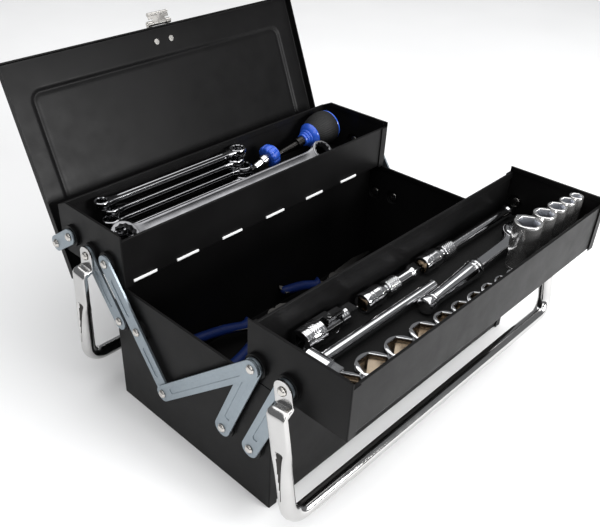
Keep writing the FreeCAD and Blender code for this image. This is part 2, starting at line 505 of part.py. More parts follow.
# ---------------------------------------------------------------- carrying handles, hanging
def handle(name, pivot):
    y, z = QX[pivot]
    items = []
    xo = "(%s + p.handle_offset)" % LAYER2
    low = "(%s) - p.handle_len" % z
    bar_len = "2*(%s - p.handle_bend)" % xo
    items.append(cyl(name + "_bar", "p.tube_radius", bar_len, "-(%s - p.handle_bend)" % xo, y, low, "x"))
    tools = []
    for s, side, axis in SIDES:
        t = doc.addObject("Part::Torus", "%s_bend_%s" % (name, side))
        t.Angle3 = 90
        bind(t, "Radius1", "p.handle_bend")
        bind(t, "Radius2", "p.tube_radius")
        # quarter ring in the XZ plane, lower outer corner
        t.Placement = Placement(Vector(0, 0, 0), Rotation(Vector(1, 0, 0), 90).multiply(Rotation(Vector(0, 0, 1), 180 if s < 0 else 270)))
        bind(t, "Placement.Base.x", "%d*(%s - p.handle_bend)" % (s, xo))
        bind(t, "Placement.Base.y", y)
        bind(t, "Placement.Base.z", "%s + p.handle_bend" % low)
        items.append(t)
        items.append(cyl("%s_leg_%s" % (name, side), "p.tube_radius", "p.handle_len - p.handle_bend - 44",
                         "%d*%s" % (s, xo), y, "%s + p.handle_bend" % low, "z"))
        # flattened upper leg, then the thin eye
        fx = "%s - p.leg_skin/2" % xo if s > 0 else "-(%s) - p.leg_skin/2" % xo
        items.append(box("%s_flat_%s" % (name, side), "p.leg_skin", "p.leg_width", "36.5", fx, "(%s) - p.leg_width/2" % y,
                         "(%s) - 50" % z))
        jx = LAYER2 if s > 0 else "-(%s + p.leg_skin/2)" % xo
        items.append(box("%s_jog_%s" % (name, side), "%s + p.leg_skin/2 - %s" % (xo, LAYER2), "p.tab_width", "2", jx,
                         "(%s) - p.tab_width/2" % y, "(%s) - 14.2" % z))
        tx = LAYER2 if s > 0 else "-(%s + p.link_skin)" % LAYER2
        items.append(box("%s_tab_%s" % (name, side), "p.link_skin", "p.tab_width", "14.2", tx, "(%s) - p.tab_width/2" % y, "(%s) - 14.2" % z))
        items.append(cyl("%s_eye_%s" % (name, side), "p.tab_width/2", "p.link_skin", "%d*%s" % (s, LAYER2), y, z, axis))
        tools.append(cyl("%s_hole_%s" % (name, side), "p.hole_radius", "14", "%d*(p.box_width/2)" % s, y, z, axis))
    return cut(name, fuse(name + "_sum", *items), *tools)


def hung(name, source, pivot, out):
    """A handle as it hangs, swung out a little from plumb about its pivots."""
    doc.recompute()
    sh = source.Shape.copy()
    sh.rotate(Vector(0, Q[pivot][0], Q[pivot][1]), Vector(1, 0, 0), out)
    return feature(name, sh)


node("front_handle", hung("front_handle", handle("front_handle_plumb", "outer_top"), "outer_top", -S["front_handle_out"]))
node("rear_handle", hung("rear_handle", handle("rear_handle_plumb", "rear_top"), "rear_top", S["rear_handle_out"]))

# ---------------------------------------------------------------- socket set in the front tray
DECK = "(p.tray_z + p.skin + p.mat_skin)"


def socket(name, od, af, height, x, y):
    """Round socket, hexagon mouth up, square drive below, waisted lower half."""
    upper = cyl(name + "_upper", str(od / 2), "%s*0.55" % height, str(x), str(y), "%s + %s*0.45" % (DECK, height))
    neck = cone(name + "_neck", str(max(od / 2 - 1.0, 7.4)), str(od / 2), "%s*0.1" % height, str(x), str(y), "%s + %s*0.35" % (DECK, height))
    lower = cyl(name + "_lower", str(max(od / 2 - 1.0, 7.4)), "%s*0.35" % height, str(x), str(y), DECK)
    mouth = prism(name + "_mouth", 6, str(af), "%s*0.5" % height, str(x), str(y), "%s + %s*0.5" % (DECK, height))
    flare = cone(name + "_flare", str(af / 2 * 1.0), str(min(af / 1.732 + 0.6, od / 2 - 0.5)), "1.2", str(x), str(y), "%s + %s - 1.19" % (DECK, height))
    drive = box(name + "_drive", "p.drive_square", "p.drive_square", "%s*0.34 + 0.1" % height,
                "%s - p.drive_square/2" % x, "%s - p.drive_square/2" % y, "%s - 0.1" % DECK)
    return cut(name, fuse(name + "_sum", upper, neck, lower), mouth, flare, drive)


ods = (28.5, 28.5, 26.0, 24.0, 20.0, 18.5, 17.0, 16.0, 14.5, 13.0)
afs = (22.0, 21.0, 19.0, 17.0, 14.0, 13.0, 12.0, 11.0, 10.0, 8.0)
x = -157.0
shallow = []
for i in range(10):
    if i:
        x += (ods[i] + ods[i - 1]) / 2 + 1.9
    shallow.append(socket("shallow_socket_%d" % i, ods[i], afs[i], "p.socket_height", round(x, 2), round(-159.6 + ods[i] / 2, 2)))
node("shallow_sockets", group("shallow_sockets", shallow))
deep = []
for i, (x, od, af) in enumerate(((90.5, 24.0, 17.0), (115.0, 20.0, 14.0), (134.5, 17.0, 12.0), (151.0, 14.5, 10.0), (165.6, 12.6, 8.0))):
    deep.append(socket("deep_socket_%d" % i, od, af, "p.deep_height", x, round(-147.0 + od / 2, 2)))
node("deep_sockets", group("deep_sockets", deep))


def extension(name, x0, length, y):
    z = "%s + 8.6" % DECK
    yy = str(y)
    parts = [cyl(name + "_female", "8.5", "21.2", str(x0), yy, z, "x"),
             cone(name + "_shoulder", "8.5", "7.6", "0.9", str(x0 + 21.2), yy, z, "x"),
             cyl(name + "_shaft", "5.2", str(length - 21 - 9), str(x0 + 21), yy, z, "x"),
             cyl(name + "_knurl", "7.2", "15", str(x0 + 29), yy, z, "x"),
             box(name + "_male", "10.5", "p.drive_square - 0.1", "p.drive_square - 0.1", str(x0 + length - 10.5),
                 "%s - (p.drive_square - 0.1)/2" % yy, "%s - (p.drive_square - 0.1)/2" % z)]
    tools = [box(name + "_drive", "12", "p.drive_square", "p.drive_square", str(x0 - 1), "%s - p.drive_square/2" % yy, "%s - p.drive_square/2" % z)]
    return cut(name, fuse(name + "_sum", *parts), *tools)


node("extension_short", extension("extension_short", -62.0, 75.0, -83.0))
node("extension_long", extension("extension_long", 18.0, 150.0, -83.0))

# universal joint: socket yoke, centre block, drive yoke, lying along X
UZ = "%s + 10.6" % DECK
UY = "-84"
uc = -104.0
sock_y = cut("universal_socket_yoke",
             fuse("usy_sum", cyl("usy_body", "10", "20", str(uc - 31), UY, UZ, "x"),
                  box("usy_ear_a", "22", "4", "11", str(uc - 16), "%s - 9.2" % UY, "%s - 5.5" % UZ),
                  box("usy_ear_b", "22", "4", "11", str(uc - 16), "%s + 5.2" % UY, "%s - 5.5" % UZ)),
             box("usy_drive", "12", "p.drive_square", "p.drive_square", str(uc - 32), "%s - p.drive_square/2" % UY, "%s - p.drive_square/2" % UZ),
             cyl("usy_hole", "2.05", "40", str(uc), "%s - 20" % UY, UZ, "y"))
node("universal_socket_yoke", sock_y)
block = fuse("universal_cross",
             box("uc_block", "9", "9.6", "9", str(uc - 4.5), "%s - 4.8" % UY, "%s - 4.5" % UZ),
             cyl("uc_pin_y", "2", "18.0", str(uc), "%s - 9.0" % UY, UZ, "y"),
             cyl("uc_pin_z", "2", "18.0", str(uc), UY, "%s - 9.0" % UZ, "z"))
node("universal_cross", block)
drive_y = cut("universal_drive_yoke",
              fuse("udy_sum", cyl("udy_body", "7", "8", str(uc + 10.5), UY, UZ, "x"),
                   box("udy_ear_a", "15.5", "8", "4", str(uc - 4.5), "%s - 4" % UY, "%s - 8.9" % UZ),
                   box("udy_ear_b", "15.5", "8", "4", str(uc - 4.5), "%s - 4" % UY, "%s + 4.9" % UZ),
                   box("udy_link", "4", "8", "17.8", str(uc + 9), "%s - 4" % UY, "%s - 8.9" % UZ),
                   box("udy_male", "11", "p.drive_square", "p.drive_square", str(uc + 18), "%s - p.drive_square/2" % UY, "%s - p.drive_square/2" % UZ)),
              cyl("udy_hole", "2.05", "40", str(uc), UY, "%s - 20" % UZ, "z"))
node("universal_drive_yoke", drive_y)

# sliding T-handle: bar and the head that runs along it
TZ = "%s + 7.9" % DECK
node("t_handle_bar", fuse("t_handle_bar", cyl("t_bar", "5", "150", "-148", "-106", TZ, "x"),
                          cone("t_bar_a", "5", "4.2", "1.2", "2", "-106", TZ, "x"),
                          cone("t_bar_b", "5", "4.2", "1.2", "-148", "-106", TZ, "-x")))
node("t_handle_head", cut("t_handle_head",
                          fuse("t_head_sum", cyl("t_head_body", "7.6", "20", "-140", "-97", TZ, "-y"),
                               box("t_head_drive", "p.drive_square", "9", "p.drive_square", "-140 - p.drive_square/2", "-125.9",
                                   "%s - p.drive_square/2" % TZ)),
                          cyl("t_head_bore", "5.06", "40", "-160", "-106", TZ, "x")))

# reversible ratchet: handle and head in one forging, drive plug, turning lever
RZ = "%s + 8.8" % DECK
RY = "-119.5"
ratchet = cut("ratchet_body_square",
              fuse("rb_sum", cyl("rb_butt", "7.6", "9", "-30", RY, RZ, "x"),
                   cyl("rb_ring", "6.4", "6", "-21", RY, RZ, "x"),
                   cone("rb_grip_a", "6.2", "7.8", "46", "-15", RY, RZ, "x"),
                   cyl("rb_grip_b", "7.8", "16", "31", RY, RZ, "x"),
                   cyl("rb_collar", "8.2", "5", "47", RY, RZ, "x"),
                   box("rb_shank", "66", "10", "7", "50", "%s - 5" % RY, "%s - 3.5" % RZ),
                   cyl("rb_head", "15.5", "14", "128", RY, "%s - 7" % RZ, "z")),
              cyl("rb_bore", "8.06", "40", "128", RY, "%s - 20" % RZ, "z"))


def turned(name, source):
    """A piece of the ratchet, turned with it about its butt."""
    doc.recompute()
    sh = source.Shape.copy()
    sh.rotate(Vector(-30, float(RY), 0), Vector(0, 0, 1), S["ratchet_turn"])
    return feature(name, sh)


node("ratchet_body", turned("ratchet_body", ratchet))
node("ratchet_drive", turned("ratchet_drive", fuse("ratchet_drive_square", cyl("rd_plug", "8", "11", "128", RY, "%s - 3.9" % RZ, "z"),
                           cyl("rd_rim", "10.5", "1", "128", RY, "%s + 7.1" % RZ, "z"),
                           prism("rd_square", 4, "p.drive_square", "10", "128", RY, "%s + 8" % RZ, "z"))))
node("ratchet_lever", turned("ratchet_lever", fuse("ratchet_lever_square", cyl("rl_disc", "7.6", "2.8", "128", RY, "%s - 7.4" % RZ, "z"),
                           box("rl_tab", "7", "2.6", "1.0", "134.2", "%s - 1.3" % RY, "%s - 8.3" % RZ),
                           cyl("rl_face", "9", "1.0", "128", RY, "%s - 8.3" % RZ, "z"))))

# ---------------------------------------------------------------- spanners in the rear tray
def ring_spanner(name, x0, x1, y, z, af0, af1, skin=7.4):
    """Double ring spanner lying flat along X, its rings raised a little from the shank."""
    items, tools = [], []
    for k, (xx, af) in enumerate(((x0, af0), (x1, af1))):
        r = af * 0.74
        items.append(cyl("%s_ring_%d" % (name, k), str(r), str(skin), str(xx), str(y), str(z - skin / 2)))
        tools.append(prism("%s_hex_%d" % (name, k), 12, str(af), str(skin + 2), str(xx), str(y), str(z - skin / 2 - 1)))
    items.append(box(name + "_shank", str(x1 - x0), "7.5", "3.6", str(x0), str(y - 3.75), str(z - 1.8)))
    return cut(name, fuse(name + "_sum", *items), *tools)


for i, (x0, x1, y, z, a0, a1) in enumerate(((-137, 22, 139.0, 132.2, 15, 17), (-135, 24, 143.5, 140.0, 13, 15),
                                            (-138, 26, 148.0, 147.8, 12, 14), (-134, 20, 152.5, 155.6, 11, 13),
                                            (-140, 28, 157.0, 163.4, 10, 12))):
    node("ring_spanner_%d" % (i + 1), ring_spanner("ring_spanner_%d" % (i + 1), x0, x1, y, z, a0, a1))
# long ring spanner along the front wall, leaning back over the others
ls_items, ls_tools = [], []
for k, (xx, af) in enumerate(((-140.5, 19), (123.5, 17))):
    ls_items.append(cyl("long_ring_%d" % k, str(af * 0.74), "8", str(xx), "0", "-4"))
    ls_tools.append(prism("long_hex_%d" % k, 12, str(af), "10", str(xx), "0", "-5"))
ls_items.append(box("long_shank", "264", "12", "4.4", "-140.5", "-6", "-2.2"))
long_flat = cut("long_spanner_flat", fuse("long_sum", *ls_items), *ls_tools)
doc.recompute()
lean = long_flat.Shape.copy()
lean.rotate(Vector(0, 0, 0), Vector(1, 0, 0), 40)
lean.translate(Vector(0, 124.5, 143.6))
node("long_spanner", feature("long_spanner", lean))

# stubby ball-grip driver and the small spinner handle, each lying with its grip raised
def raised(name, source, x, y, z, rise):
    doc.recompute()
    sh = source.copy() if isinstance(source, Part.Shape) else source.Shape.copy()
    sh.rotate(Vector(x, y, z), Vector(0, 1, 0), -rise)
    return feature(name, sh)


BZ, BY = 146.0, 148.3
profile = [(118, 0), (118, 7), (121, 7.8), (126, 10.2), (131, 13.8), (136, 15.8), (142, 17.9), (150, 19.0), (157, 18.3),
           (163, 15.6), (166, 9), (166.5, 0)]
wire = Part.makePolygon([Vector(px, 0, pr) for px, pr in profile] + [Vector(118, 0, 0)])
solid = Part.Face(wire).revolve(Vector(0, 0, 0), Vector(1, 0, 0), 360)
grip_cut = Part.makeCylinder(3.0, 30, Vector(117, 0, 0), Vector(1, 0, 0))
solid = solid.cut(grip_cut)
solid.translate(Vector(0, BY, BZ))
node("ball_driver_grip", raised("ball_driver_grip", solid, 82, BY, BZ, S["driver_rise"]))
blade = fuse("ball_driver_blade_level", cyl("bd_shaft", "3.0", "60", "86", str(BY), str(BZ), "x"),
             cyl("bd_collar", "5.2", "9", "108.9", str(BY), str(BZ), "x"),
             box("bd_tip", "9", "1.2", "5.6", "78", str(BY - 0.6), str(BZ - 2.8)),
             cone("bd_tip_cone", "1.6", "3.0", "5", "82", str(BY), str(BZ), "x"))
node("ball_driver_blade", raised("ball_driver_blade", blade, 82, BY, BZ, S["driver_rise"]))
KZ, KY = 141.0, 147.0
knob = [prism("sp_knob", 12, "24.4", "10", "62", str(KY), str(KZ), "x"), cyl("sp_face", "8.5", "3", "72", str(KY), str(KZ), "x")]
knob = cut("spinner_grip_level", fuse("spinner_grip_sum", *knob), cyl("sp_bore", "3.4", "12", "61", str(KY), str(KZ), "x"))
node("spinner_grip", raised("spinner_grip", knob, 40, KY, KZ, S["spinner_rise"]))
shaft = fuse("spinner_shaft_level", cyl("ss_core", "3.4", "11", "61", str(KY), str(KZ), "x"),
             cyl("ss_collar", "6.2", "7", "54.5", str(KY), str(KZ), "x"),
             cyl("ss_neck", "4.4", "12", "44", str(KY), str(KZ), "x"),
             box("ss_square", "9", "6.3", "6.3", "36", str(KY - 3.15), str(KZ - 3.15)))
node("spinner_shaft", raised("spinner_shaft", shaft, 40, KY, KZ, S["spinner_rise"]))


# ---------------------------------------------------------------- pliers in the lower box, lying part open and leaning on the rear wall
def strip(points, y0, thick):
    return Part.Face(Part.makePolygon([Vector(a, y0, b) for a, b in points + points[:1]])).extrude(Vector(0, thick, 0))


def pliers(tag, px, yc, zc, jaw, reach):
    """Two crossed halves on one pin, made shut and upright about the pin, then opened and leaned back."""
    lap = 4.6
    k = reach / 107.0
    up_handle = [(-6, 1), (-26 * k, 7), (-60 * k, 15.5), (-96 * k, 17), (-104 * k, 20.5), (-107 * k, 17),
                 (-100 * k, 8.5), (-62 * k, 6.5), (-30 * k, -1.0), (-8, -8)]
    lo_handle = [(a, -b) for a, b in up_handle]
    up_jaw = [(-2, 1.2), (8, 8.5), (jaw * 0.6, 8), (jaw, 3.0), (jaw, 0.35), (12, 0.35), (6, -3)]
    lo_jaw = [(a, -b) for a, b in up_jaw]
    y0 = -lap - 0.15
    disc_a = Part.makeCylinder(9.5, lap, Vector(0, y0, 0), Vector(0, 1, 0))
    disc_b = Part.makeCylinder(9.5, lap, Vector(0, 0.15, 0), Vector(0, 1, 0))
    bore = Part.makeCylinder(3.05, 40, Vector(0, -20, 0), Vector(0, 1, 0))
    lower = disc_a.fuse([strip(lo_handle, y0, lap), strip(up_jaw, y0, lap)]).cut(bore).removeSplitter()
    upper = disc_b.fuse([strip(up_handle, 0.15, lap), strip(lo_jaw, 0.15, lap)]).cut(bore).removeSplitter()
    pin = Part.makeCylinder(3.0, 2 * lap + 1.1, Vector(0, y0 - 0.4, 0), Vector(0, 1, 0))
    pin = pin.fuse([Part.makeCylinder(4.4, 0.9, Vector(0, y0 - 1.3, 0), Vector(0, 1, 0)),
                    Part.makeCylinder(4.4, 0.9, Vector(0, lap + 0.55, 0), Vector(0, 1, 0))]).removeSplitter()
    half = S["pliers_open"] / 2
    for part, sh, turn in (("lower_half", lower, -half), ("upper_half", upper, half), ("pin", pin, 0.0)):
        sh.rotate(Vector(0, 0, 0), Vector(0, 1, 0), turn)
        sh.rotate(Vector(0, 0, 0), Vector(1, 0, 0), -S["pliers_lean"])
        sh.translate(Vector(px, yc, zc))
        node("%s_%s" % (tag, part), feature("%s_%s" % (tag, part), sh))


pliers("pliers", -8.0, 63.5, 17.1, 24.0, 107.0)
pliers("long_nose_pliers", 92.0, 66.5, 15.2, 68.0, 70.0)

doc.recompute()

# ---------------------------------------------------------------- checks, then one file per piece
bad = []
for o in doc.Objects:
    if any(w in ("Invalid", "Error") for w in o.State):
        bad.append("%s state %s" % (o.Name, o.State))
for name in NODES:
    sh = NODES[name].Shape
    if sh.isNull() or not sh.isValid() or not sh.Solids:
        bad.append("%s shape not valid" % name)
if bad:
    raise RuntimeError("; ".join(bad))
os.makedirs("parts", exist_ok=True)
for name in NODES:
    NODES[name].Shape.exportStep(os.path.join("parts", name + ".step"))
print(len(NODES), "nodes")
for k in sorted(Q):
    print(k, [round(v, 3) for v in Q[k]])
print("coupler span", round(span, 3), "lid arm", round(lid_arm, 3))
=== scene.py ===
import json
import math
import bpy
import bmesh
from mathutils import Vector, Matrix


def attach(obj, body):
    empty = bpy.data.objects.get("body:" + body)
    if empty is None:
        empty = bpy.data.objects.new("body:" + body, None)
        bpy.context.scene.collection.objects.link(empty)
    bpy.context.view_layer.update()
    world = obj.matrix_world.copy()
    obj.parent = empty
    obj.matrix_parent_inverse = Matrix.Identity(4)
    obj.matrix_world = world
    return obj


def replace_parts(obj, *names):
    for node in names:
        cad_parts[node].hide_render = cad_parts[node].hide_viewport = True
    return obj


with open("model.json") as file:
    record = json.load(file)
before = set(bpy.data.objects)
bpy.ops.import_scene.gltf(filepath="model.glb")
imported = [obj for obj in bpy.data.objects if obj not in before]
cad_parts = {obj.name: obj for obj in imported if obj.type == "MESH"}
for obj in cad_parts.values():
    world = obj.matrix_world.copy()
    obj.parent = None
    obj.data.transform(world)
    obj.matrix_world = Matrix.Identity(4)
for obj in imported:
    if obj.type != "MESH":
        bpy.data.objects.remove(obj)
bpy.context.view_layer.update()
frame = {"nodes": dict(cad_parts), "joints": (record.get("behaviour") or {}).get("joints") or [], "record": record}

MM = 0.001
NODES = frame["nodes"]
BODY_OF = {n: b for b, ns in frame["record"]["behaviour"]["bodies"].items() for n in ns}
SLOT_OF = {s["node"]: s["material_slot"] for s in frame["record"]["subparts"]}
scene = bpy.context.scene


# ------------------------------------------------------------------ materials
class Mat:
    """A node material with its texture coordinates taken from the piece itself."""

    def __init__(self, name):
        self.m = bpy.data.materials.new(name)
        self.m.use_nodes = True
        self.nt = self.m.node_tree
        self.b = self.nt.nodes["Principled BSDF"]
        self.tc = self.nt.nodes.new("ShaderNodeTexCoord")

    def set(self, **kw):
        for k, v in kw.items():
            self.b.inputs[k.replace("_", " ")].default_value = v
        return self

    def noise(self, scale, detail=3.0, rough=0.5, stretch=None):
        n = self.nt.nodes.new("ShaderNodeTexNoise")
        n.inputs["Scale"].default_value = scale
        n.inputs["Detail"].default_value = detail
        n.inputs["Roughness"].default_value = rough
        if stretch:
            mp = self.nt.nodes.new("ShaderNodeMapping")
            mp.inputs["Scale"].default_value = stretch
            self.nt.links.new(self.tc.outputs["Object"], mp.inputs["Vector"])
            self.nt.links.new(mp.outputs["Vector"], n.inputs["Vector"])
        else:
            self.nt.links.new(self.tc.outputs["Object"], n.inputs["Vector"])
        return n.outputs["Fac"]

    def cells(self, scale):
        n = self.nt.nodes.new("ShaderNodeTexVoronoi")
        n.inputs["Scale"].default_value = scale
        self.nt.links.new(self.tc.outputs["Object"], n.inputs["Vector"])
        return n.outputs["Distance"], n.outputs["Color"]

    def colour(self, fac, stops):
        r = self.nt.nodes.new("ShaderNodeValToRGB")
        r.color_ramp.elements[0].position, r.color_ramp.elements[0].color = stops[0][0], (*stops[0][1], 1)
        r.color_ramp.elements[1].position, r.color_ramp.elements[1].color = stops[-1][0], (*stops[-1][1], 1)
        for p, c in stops[1:-1]:
            r.color_ramp.elements.new(p).color = (*c, 1)
        self.nt.links.new(fac, r.inputs["Fac"])
        self.nt.links.new(r.outputs["Color"], self.b.inputs["Base Color"])
        return self

    def rough(self, fac, lo, hi):
        r = self.nt.nodes.new("ShaderNodeMapRange")
        r.inputs["From Min"].default_value = 0.3
        r.inputs["From Max"].default_value = 0.7
        r.inputs["To Min"].default_value = lo
        r.inputs["To Max"].default_value = hi
        self.nt.links.new(fac, r.inputs["Value"])
        self.nt.links.new(r.outputs["Result"], self.b.inputs["Roughness"])
        return self

    def bump(self, height, strength, dist):
        n = self.nt.nodes.new("ShaderNodeBump")
        n.inputs["Strength"].default_value = strength
        n.inputs["Distance"].default_value = dist
        self.nt.links.new(height, n.inputs["Height"])
        self.nt.links.new(n.outputs["Normal"], self.b.inputs["Normal"])
        return self


def enamel():
    k = Mat("black_enamel")
    k.set(Metallic=0.0, IOR=1.46, Specular_IOR_Level=0.11)
    k.colour(k.noise(14, 4), [(0.3, (0.0042, 0.0041, 0.0042)), (0.7, (0.0066, 0.0064, 0.0066))])
    k.rough(k.noise(60, 4, 0.6), 0.34, 0.43)
    k.bump(k.noise(900, 2), 0.05, 0.0002)
    return k.m


def zinc(name="zinc", tint=(0.30, 0.345, 0.38)):
    k = Mat(name)
    d, c = k.cells(380)
    k.set(Metallic=1.0, Anisotropic=0.25)
    k.colour(k.noise(45, 4, 0.5), [(0.3, tuple(v * 0.95 for v in tint)), (0.55, tint), (0.75, tuple(min(1, v * 1.03) for v in tint))])
    k.rough(k.noise(240, 4, 0.6), 0.40, 0.50)
    k.bump(k.noise(700, 3, 0.5, (0.12, 1, 1)), 0.06, 0.0002)
    return k.m


def chrome(name="chrome", base=(0.68, 0.68, 0.69), lo=0.06, hi=0.13, metal=1.0):
    k = Mat(name)
    k.set(Metallic=metal)
    k.colour(k.noise(55, 4), [(0.3, tuple(v * 0.93 for v in base)), (0.7, base)])
    k.rough(k.noise(120, 5, 0.65), lo, hi)
    k.bump(k.noise(420, 2), 0.015, 0.0002)
    return k.m


def satin():
    k = Mat("satin_steel")
    k.set(Metallic=1.0, Anisotropic=0.4)
    k.colour(k.noise(70, 4), [(0.3, (0.25, 0.25, 0.26)), (0.7, (0.34, 0.34, 0.35))])
    k.rough(k.noise(500, 3, 0.5, (0.08, 1, 1)), 0.32, 0.44)
    k.bump(k.noise(1400, 2, 0.5, (0.05, 1, 1)), 0.08, 0.0002)
    return k.m


def plastic(name, lo, hi, r0, r1, coat=0.3, spec=0.5):
    k = Mat(name)
    k.set(IOR=1.5, Coat_Weight=coat, Coat_Roughness=0.12, Specular_IOR_Level=spec)
    k.colour(k.noise(40, 3), [(0.3, lo), (0.7, hi)])
    k.rough(k.noise(220, 4), r0, r1)
    k.bump(k.noise(1100, 2), 0.05, 0.0002)
    return k.m


def rubber():
    k = Mat("black_rubber")
    k.colour(k.noise(60, 4), [(0.3, (0.006, 0.006, 0.006)), (0.7, (0.011, 0.011, 0.011))])
    k.set(Specular_IOR_Level=0.25)
    k.rough(k.noise(300, 4), 0.5, 0.66)
    k.bump(k.noise(1500, 3), 0.15, 0.0003)
    return k.m


def felt():
    k = Mat("felt")
    k.set(Sheen_Weight=0.04, Sheen_Roughness=0.5, Specular_IOR_Level=0.15)
    k.colour(k.noise(1300, 5, 0.7), [(0.3, (0.004, 0.004, 0.004)), (0.5, (0.008, 0.008, 0.008)), (0.72, (0.017, 0.017, 0.017))])
    k.rough(k.noise(800, 3), 0.82, 0.98)
    k.bump(k.noise(2200, 4, 0.7), 0.5, 0.0006)
    return k.m


M = {
    "black_paint": enamel(), "zinc_links": zinc(), "zinc_fittings": chrome("zinc_fittings", (0.60, 0.58, 0.55), 0.20, 0.32),
    "chrome": chrome(), "handle_steel": chrome("handle_chrome", (0.55, 0.545, 0.54), 0.08, 0.17), "satin_steel": satin(),
    "blue_plastic": plastic("blue_plastic", (0.016, 0.075, 0.46), (0.024, 0.100, 0.56), 0.24, 0.36),
    # the grip sleeves' navy is darkened below the dipped plastic's own blue: painted shade for the dark inside of the
    # lower box
    "blue_grip_steel": plastic("blue_grip", (0.0022, 0.010, 0.066), (0.0034, 0.015, 0.092), 0.46, 0.6, 0.0, 0.2),
    "driver_grip": rubber(), "tray_mat": felt(), "tool_steel": zinc("tool_steel", (0.52, 0.52, 0.53)),
    "bore": chrome("socket_bore", (0.50, 0.45, 0.39), 0.10, 0.18), "deep_bore": chrome("deep_socket_bore", (0.52, 0.53, 0.56), 0.26, 0.36), "deep_socket": chrome("deep_socket_satin", (0.76, 0.75, 0.74), 0.12, 0.20, 0.93),
    # the ring spanners' chrome has a darker base than the chrome: a painted dark reflection of the lid and tray they
    # mirror
    "spanner_chrome_painted_dark_reflection": chrome("spanner_chrome_painted_dark_reflection", (0.34, 0.34, 0.35), 0.07, 0.15), "black_oxide_and_painted_shade": chrome("black_oxide_and_painted_shade", (0.050, 0.048, 0.046), 0.28, 0.42),
    "pale_plastic": plastic("pale_plastic", (0.93, 0.93, 0.93), (0.97, 0.97, 0.97), 0.42, 0.6),
}


# ------------------------------------------------------------------ mesh helpers
def finish_mesh(name, verts, faces, mats, body, mat_ids=None, angle=34, weighted=False):
    me = bpy.data.meshes.new(name)
    me.from_pydata([tuple(v) for v in verts], [], faces)
    for m in mats:
        me.materials.append(m)
    if mat_ids:
        me.polygons.foreach_set("material_index", mat_ids)
    bm = bmesh.new()
    bm.from_mesh(me)
    bmesh.ops.remove_doubles(bm, verts=bm.verts, dist=1e-7)
    bmesh.ops.recalc_face_normals(bm, faces=bm.faces)
    bm.to_mesh(me)
    bm.free()
    me.polygons.foreach_set("use_smooth", [True] * len(me.polygons))
    me.set_sharp_from_angle(angle=math.radians(angle))
    o = bpy.data.objects.new(name, me)
    scene.collection.objects.link(o)
    if weighted:
        w = o.modifiers.new("weighted", "WEIGHTED_NORMAL")
        w.keep_sharp = True
    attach(o, body)
    return o


def softened(node, width=0.4, seg=2, angle=33.0, mat=None):
    """The piece with its sheet and forged edges rounded, so that they catch the light."""
    src = NODES[node]
    bm = bmesh.new()
    vs = [bm.verts.new(v.co) for v in src.data.vertices]
    for p in src.data.polygons:
        try:
            bm.faces.new([vs[i] for i in p.vertices])
        except ValueError:
            pass
    bmesh.ops.remove_doubles(bm, verts=bm.verts, dist=2e-6)
    bmesh.ops.dissolve_degenerate(bm, edges=bm.edges, dist=1e-6)
    bmesh.ops.dissolve_limit(bm, angle_limit=math.radians(0.6), verts=bm.verts, edges=bm.edges)
    sharp = [e for e in bm.edges if len(e.link_faces) == 2 and e.calc_face_angle(0.0) > math.radians(angle)]
    bmesh.ops.bevel(bm, geom=sharp, offset=width * MM, offset_type="OFFSET", segments=seg, profile=0.5,
                    affect="EDGES", clamp_overlap=True)
    bmesh.ops.recalc_face_normals(bm, faces=bm.faces)
    me = bpy.data.meshes.new(node + "_finish")
    bm.to_mesh(me)
    bm.free()
    me.polygons.foreach_set("use_smooth", [True] * len(me.polygons))
    me.set_sharp_from_angle(angle=math.radians(50))
    me.materials.append(mat or M[SLOT_OF[node]])
    o = bpy.data.objects.new(node + "_finish", me)
    scene.collection.objects.link(o)
    w = o.modifiers.new("weighted", "WEIGHTED_NORMAL")
    w.keep_sharp = True
    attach(o, BODY_OF[node])
    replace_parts(o, node)
    return o


AX = {"x": (Vector((1, 0, 0)), Vector((0, 1, 0)), Vector((0, 0, 1))),
      "y": (Vector((0, 1, 0)), Vector((0, 0, 1)), Vector((1, 0, 0))),
      "z": (Vector((0, 0, 1)), Vector((1, 0, 0)), Vector((0, 1, 0)))}


def poly_r(theta, sides, across, turn=0.0):
    """Radius of a regular polygon of that size across flats, at an angle."""
    step = 2 * math.pi / sides
    a = (theta - turn) % step - step / 2
    return across / 2 / math.cos(a)


def turned(origin, profile, axis="z", seg=72):
    """Verts, faces and material ids of a piece turned from (along, radius, kind, id) steps.
    kind is c for a circle, h for a hexagon, s for a square, w for a twelve-point ring,
    or a function of angle and place. A radius of 0 closes the piece."""
    ax, u, v = AX[axis]
    o = Vector(origin)
    verts, faces, ids, rings = [], [], [], []
    for st in profile:
        t, r, kind = st[0], st[1], st[2] if len(st) > 2 else "c"
        if r == 0:
            verts.append((o + ax * t) * MM)
            rings.append([len(verts) - 1])
            continue
        ring = []
        for i in range(seg):
            th = 2 * math.pi * i / seg
            if kind == "c":
                rr = r
            elif kind == "h":
                rr = poly_r(th, 6, 2 * r)
            elif kind == "s":
                rr = poly_r(th, 4, 2 * r, math.pi / 4)
            elif kind == "w":
                rr = max(poly_r(th, 6, 2 * r), poly_r(th, 6, 2 * r, math.pi / 6))
            else:
                rr = kind(th, t, r)
            verts.append((o + ax * t + u * (rr * math.cos(th)) + v * (rr * math.sin(th))) * MM)
            ring.append(len(verts) - 1)
        rings.append(ring)
    for k in range(len(rings) - 1):
        a, b = rings[k], rings[k + 1]
        mid = profile[k][3] if len(profile[k]) > 3 else 0
        for i in range(seg):
            j = (i + 1) % seg
            if len(a) == 1 and len(b) == 1:
                break
            if len(a) == 1:
                faces.append((a[0], b[j], b[i]))
            elif len(b) == 1:
                faces.append((a[i], a[j], b[0]))
            else:
                faces.append((a[i], a[j], b[j], b[i]))
            ids.append(mid)
    return verts, faces, ids


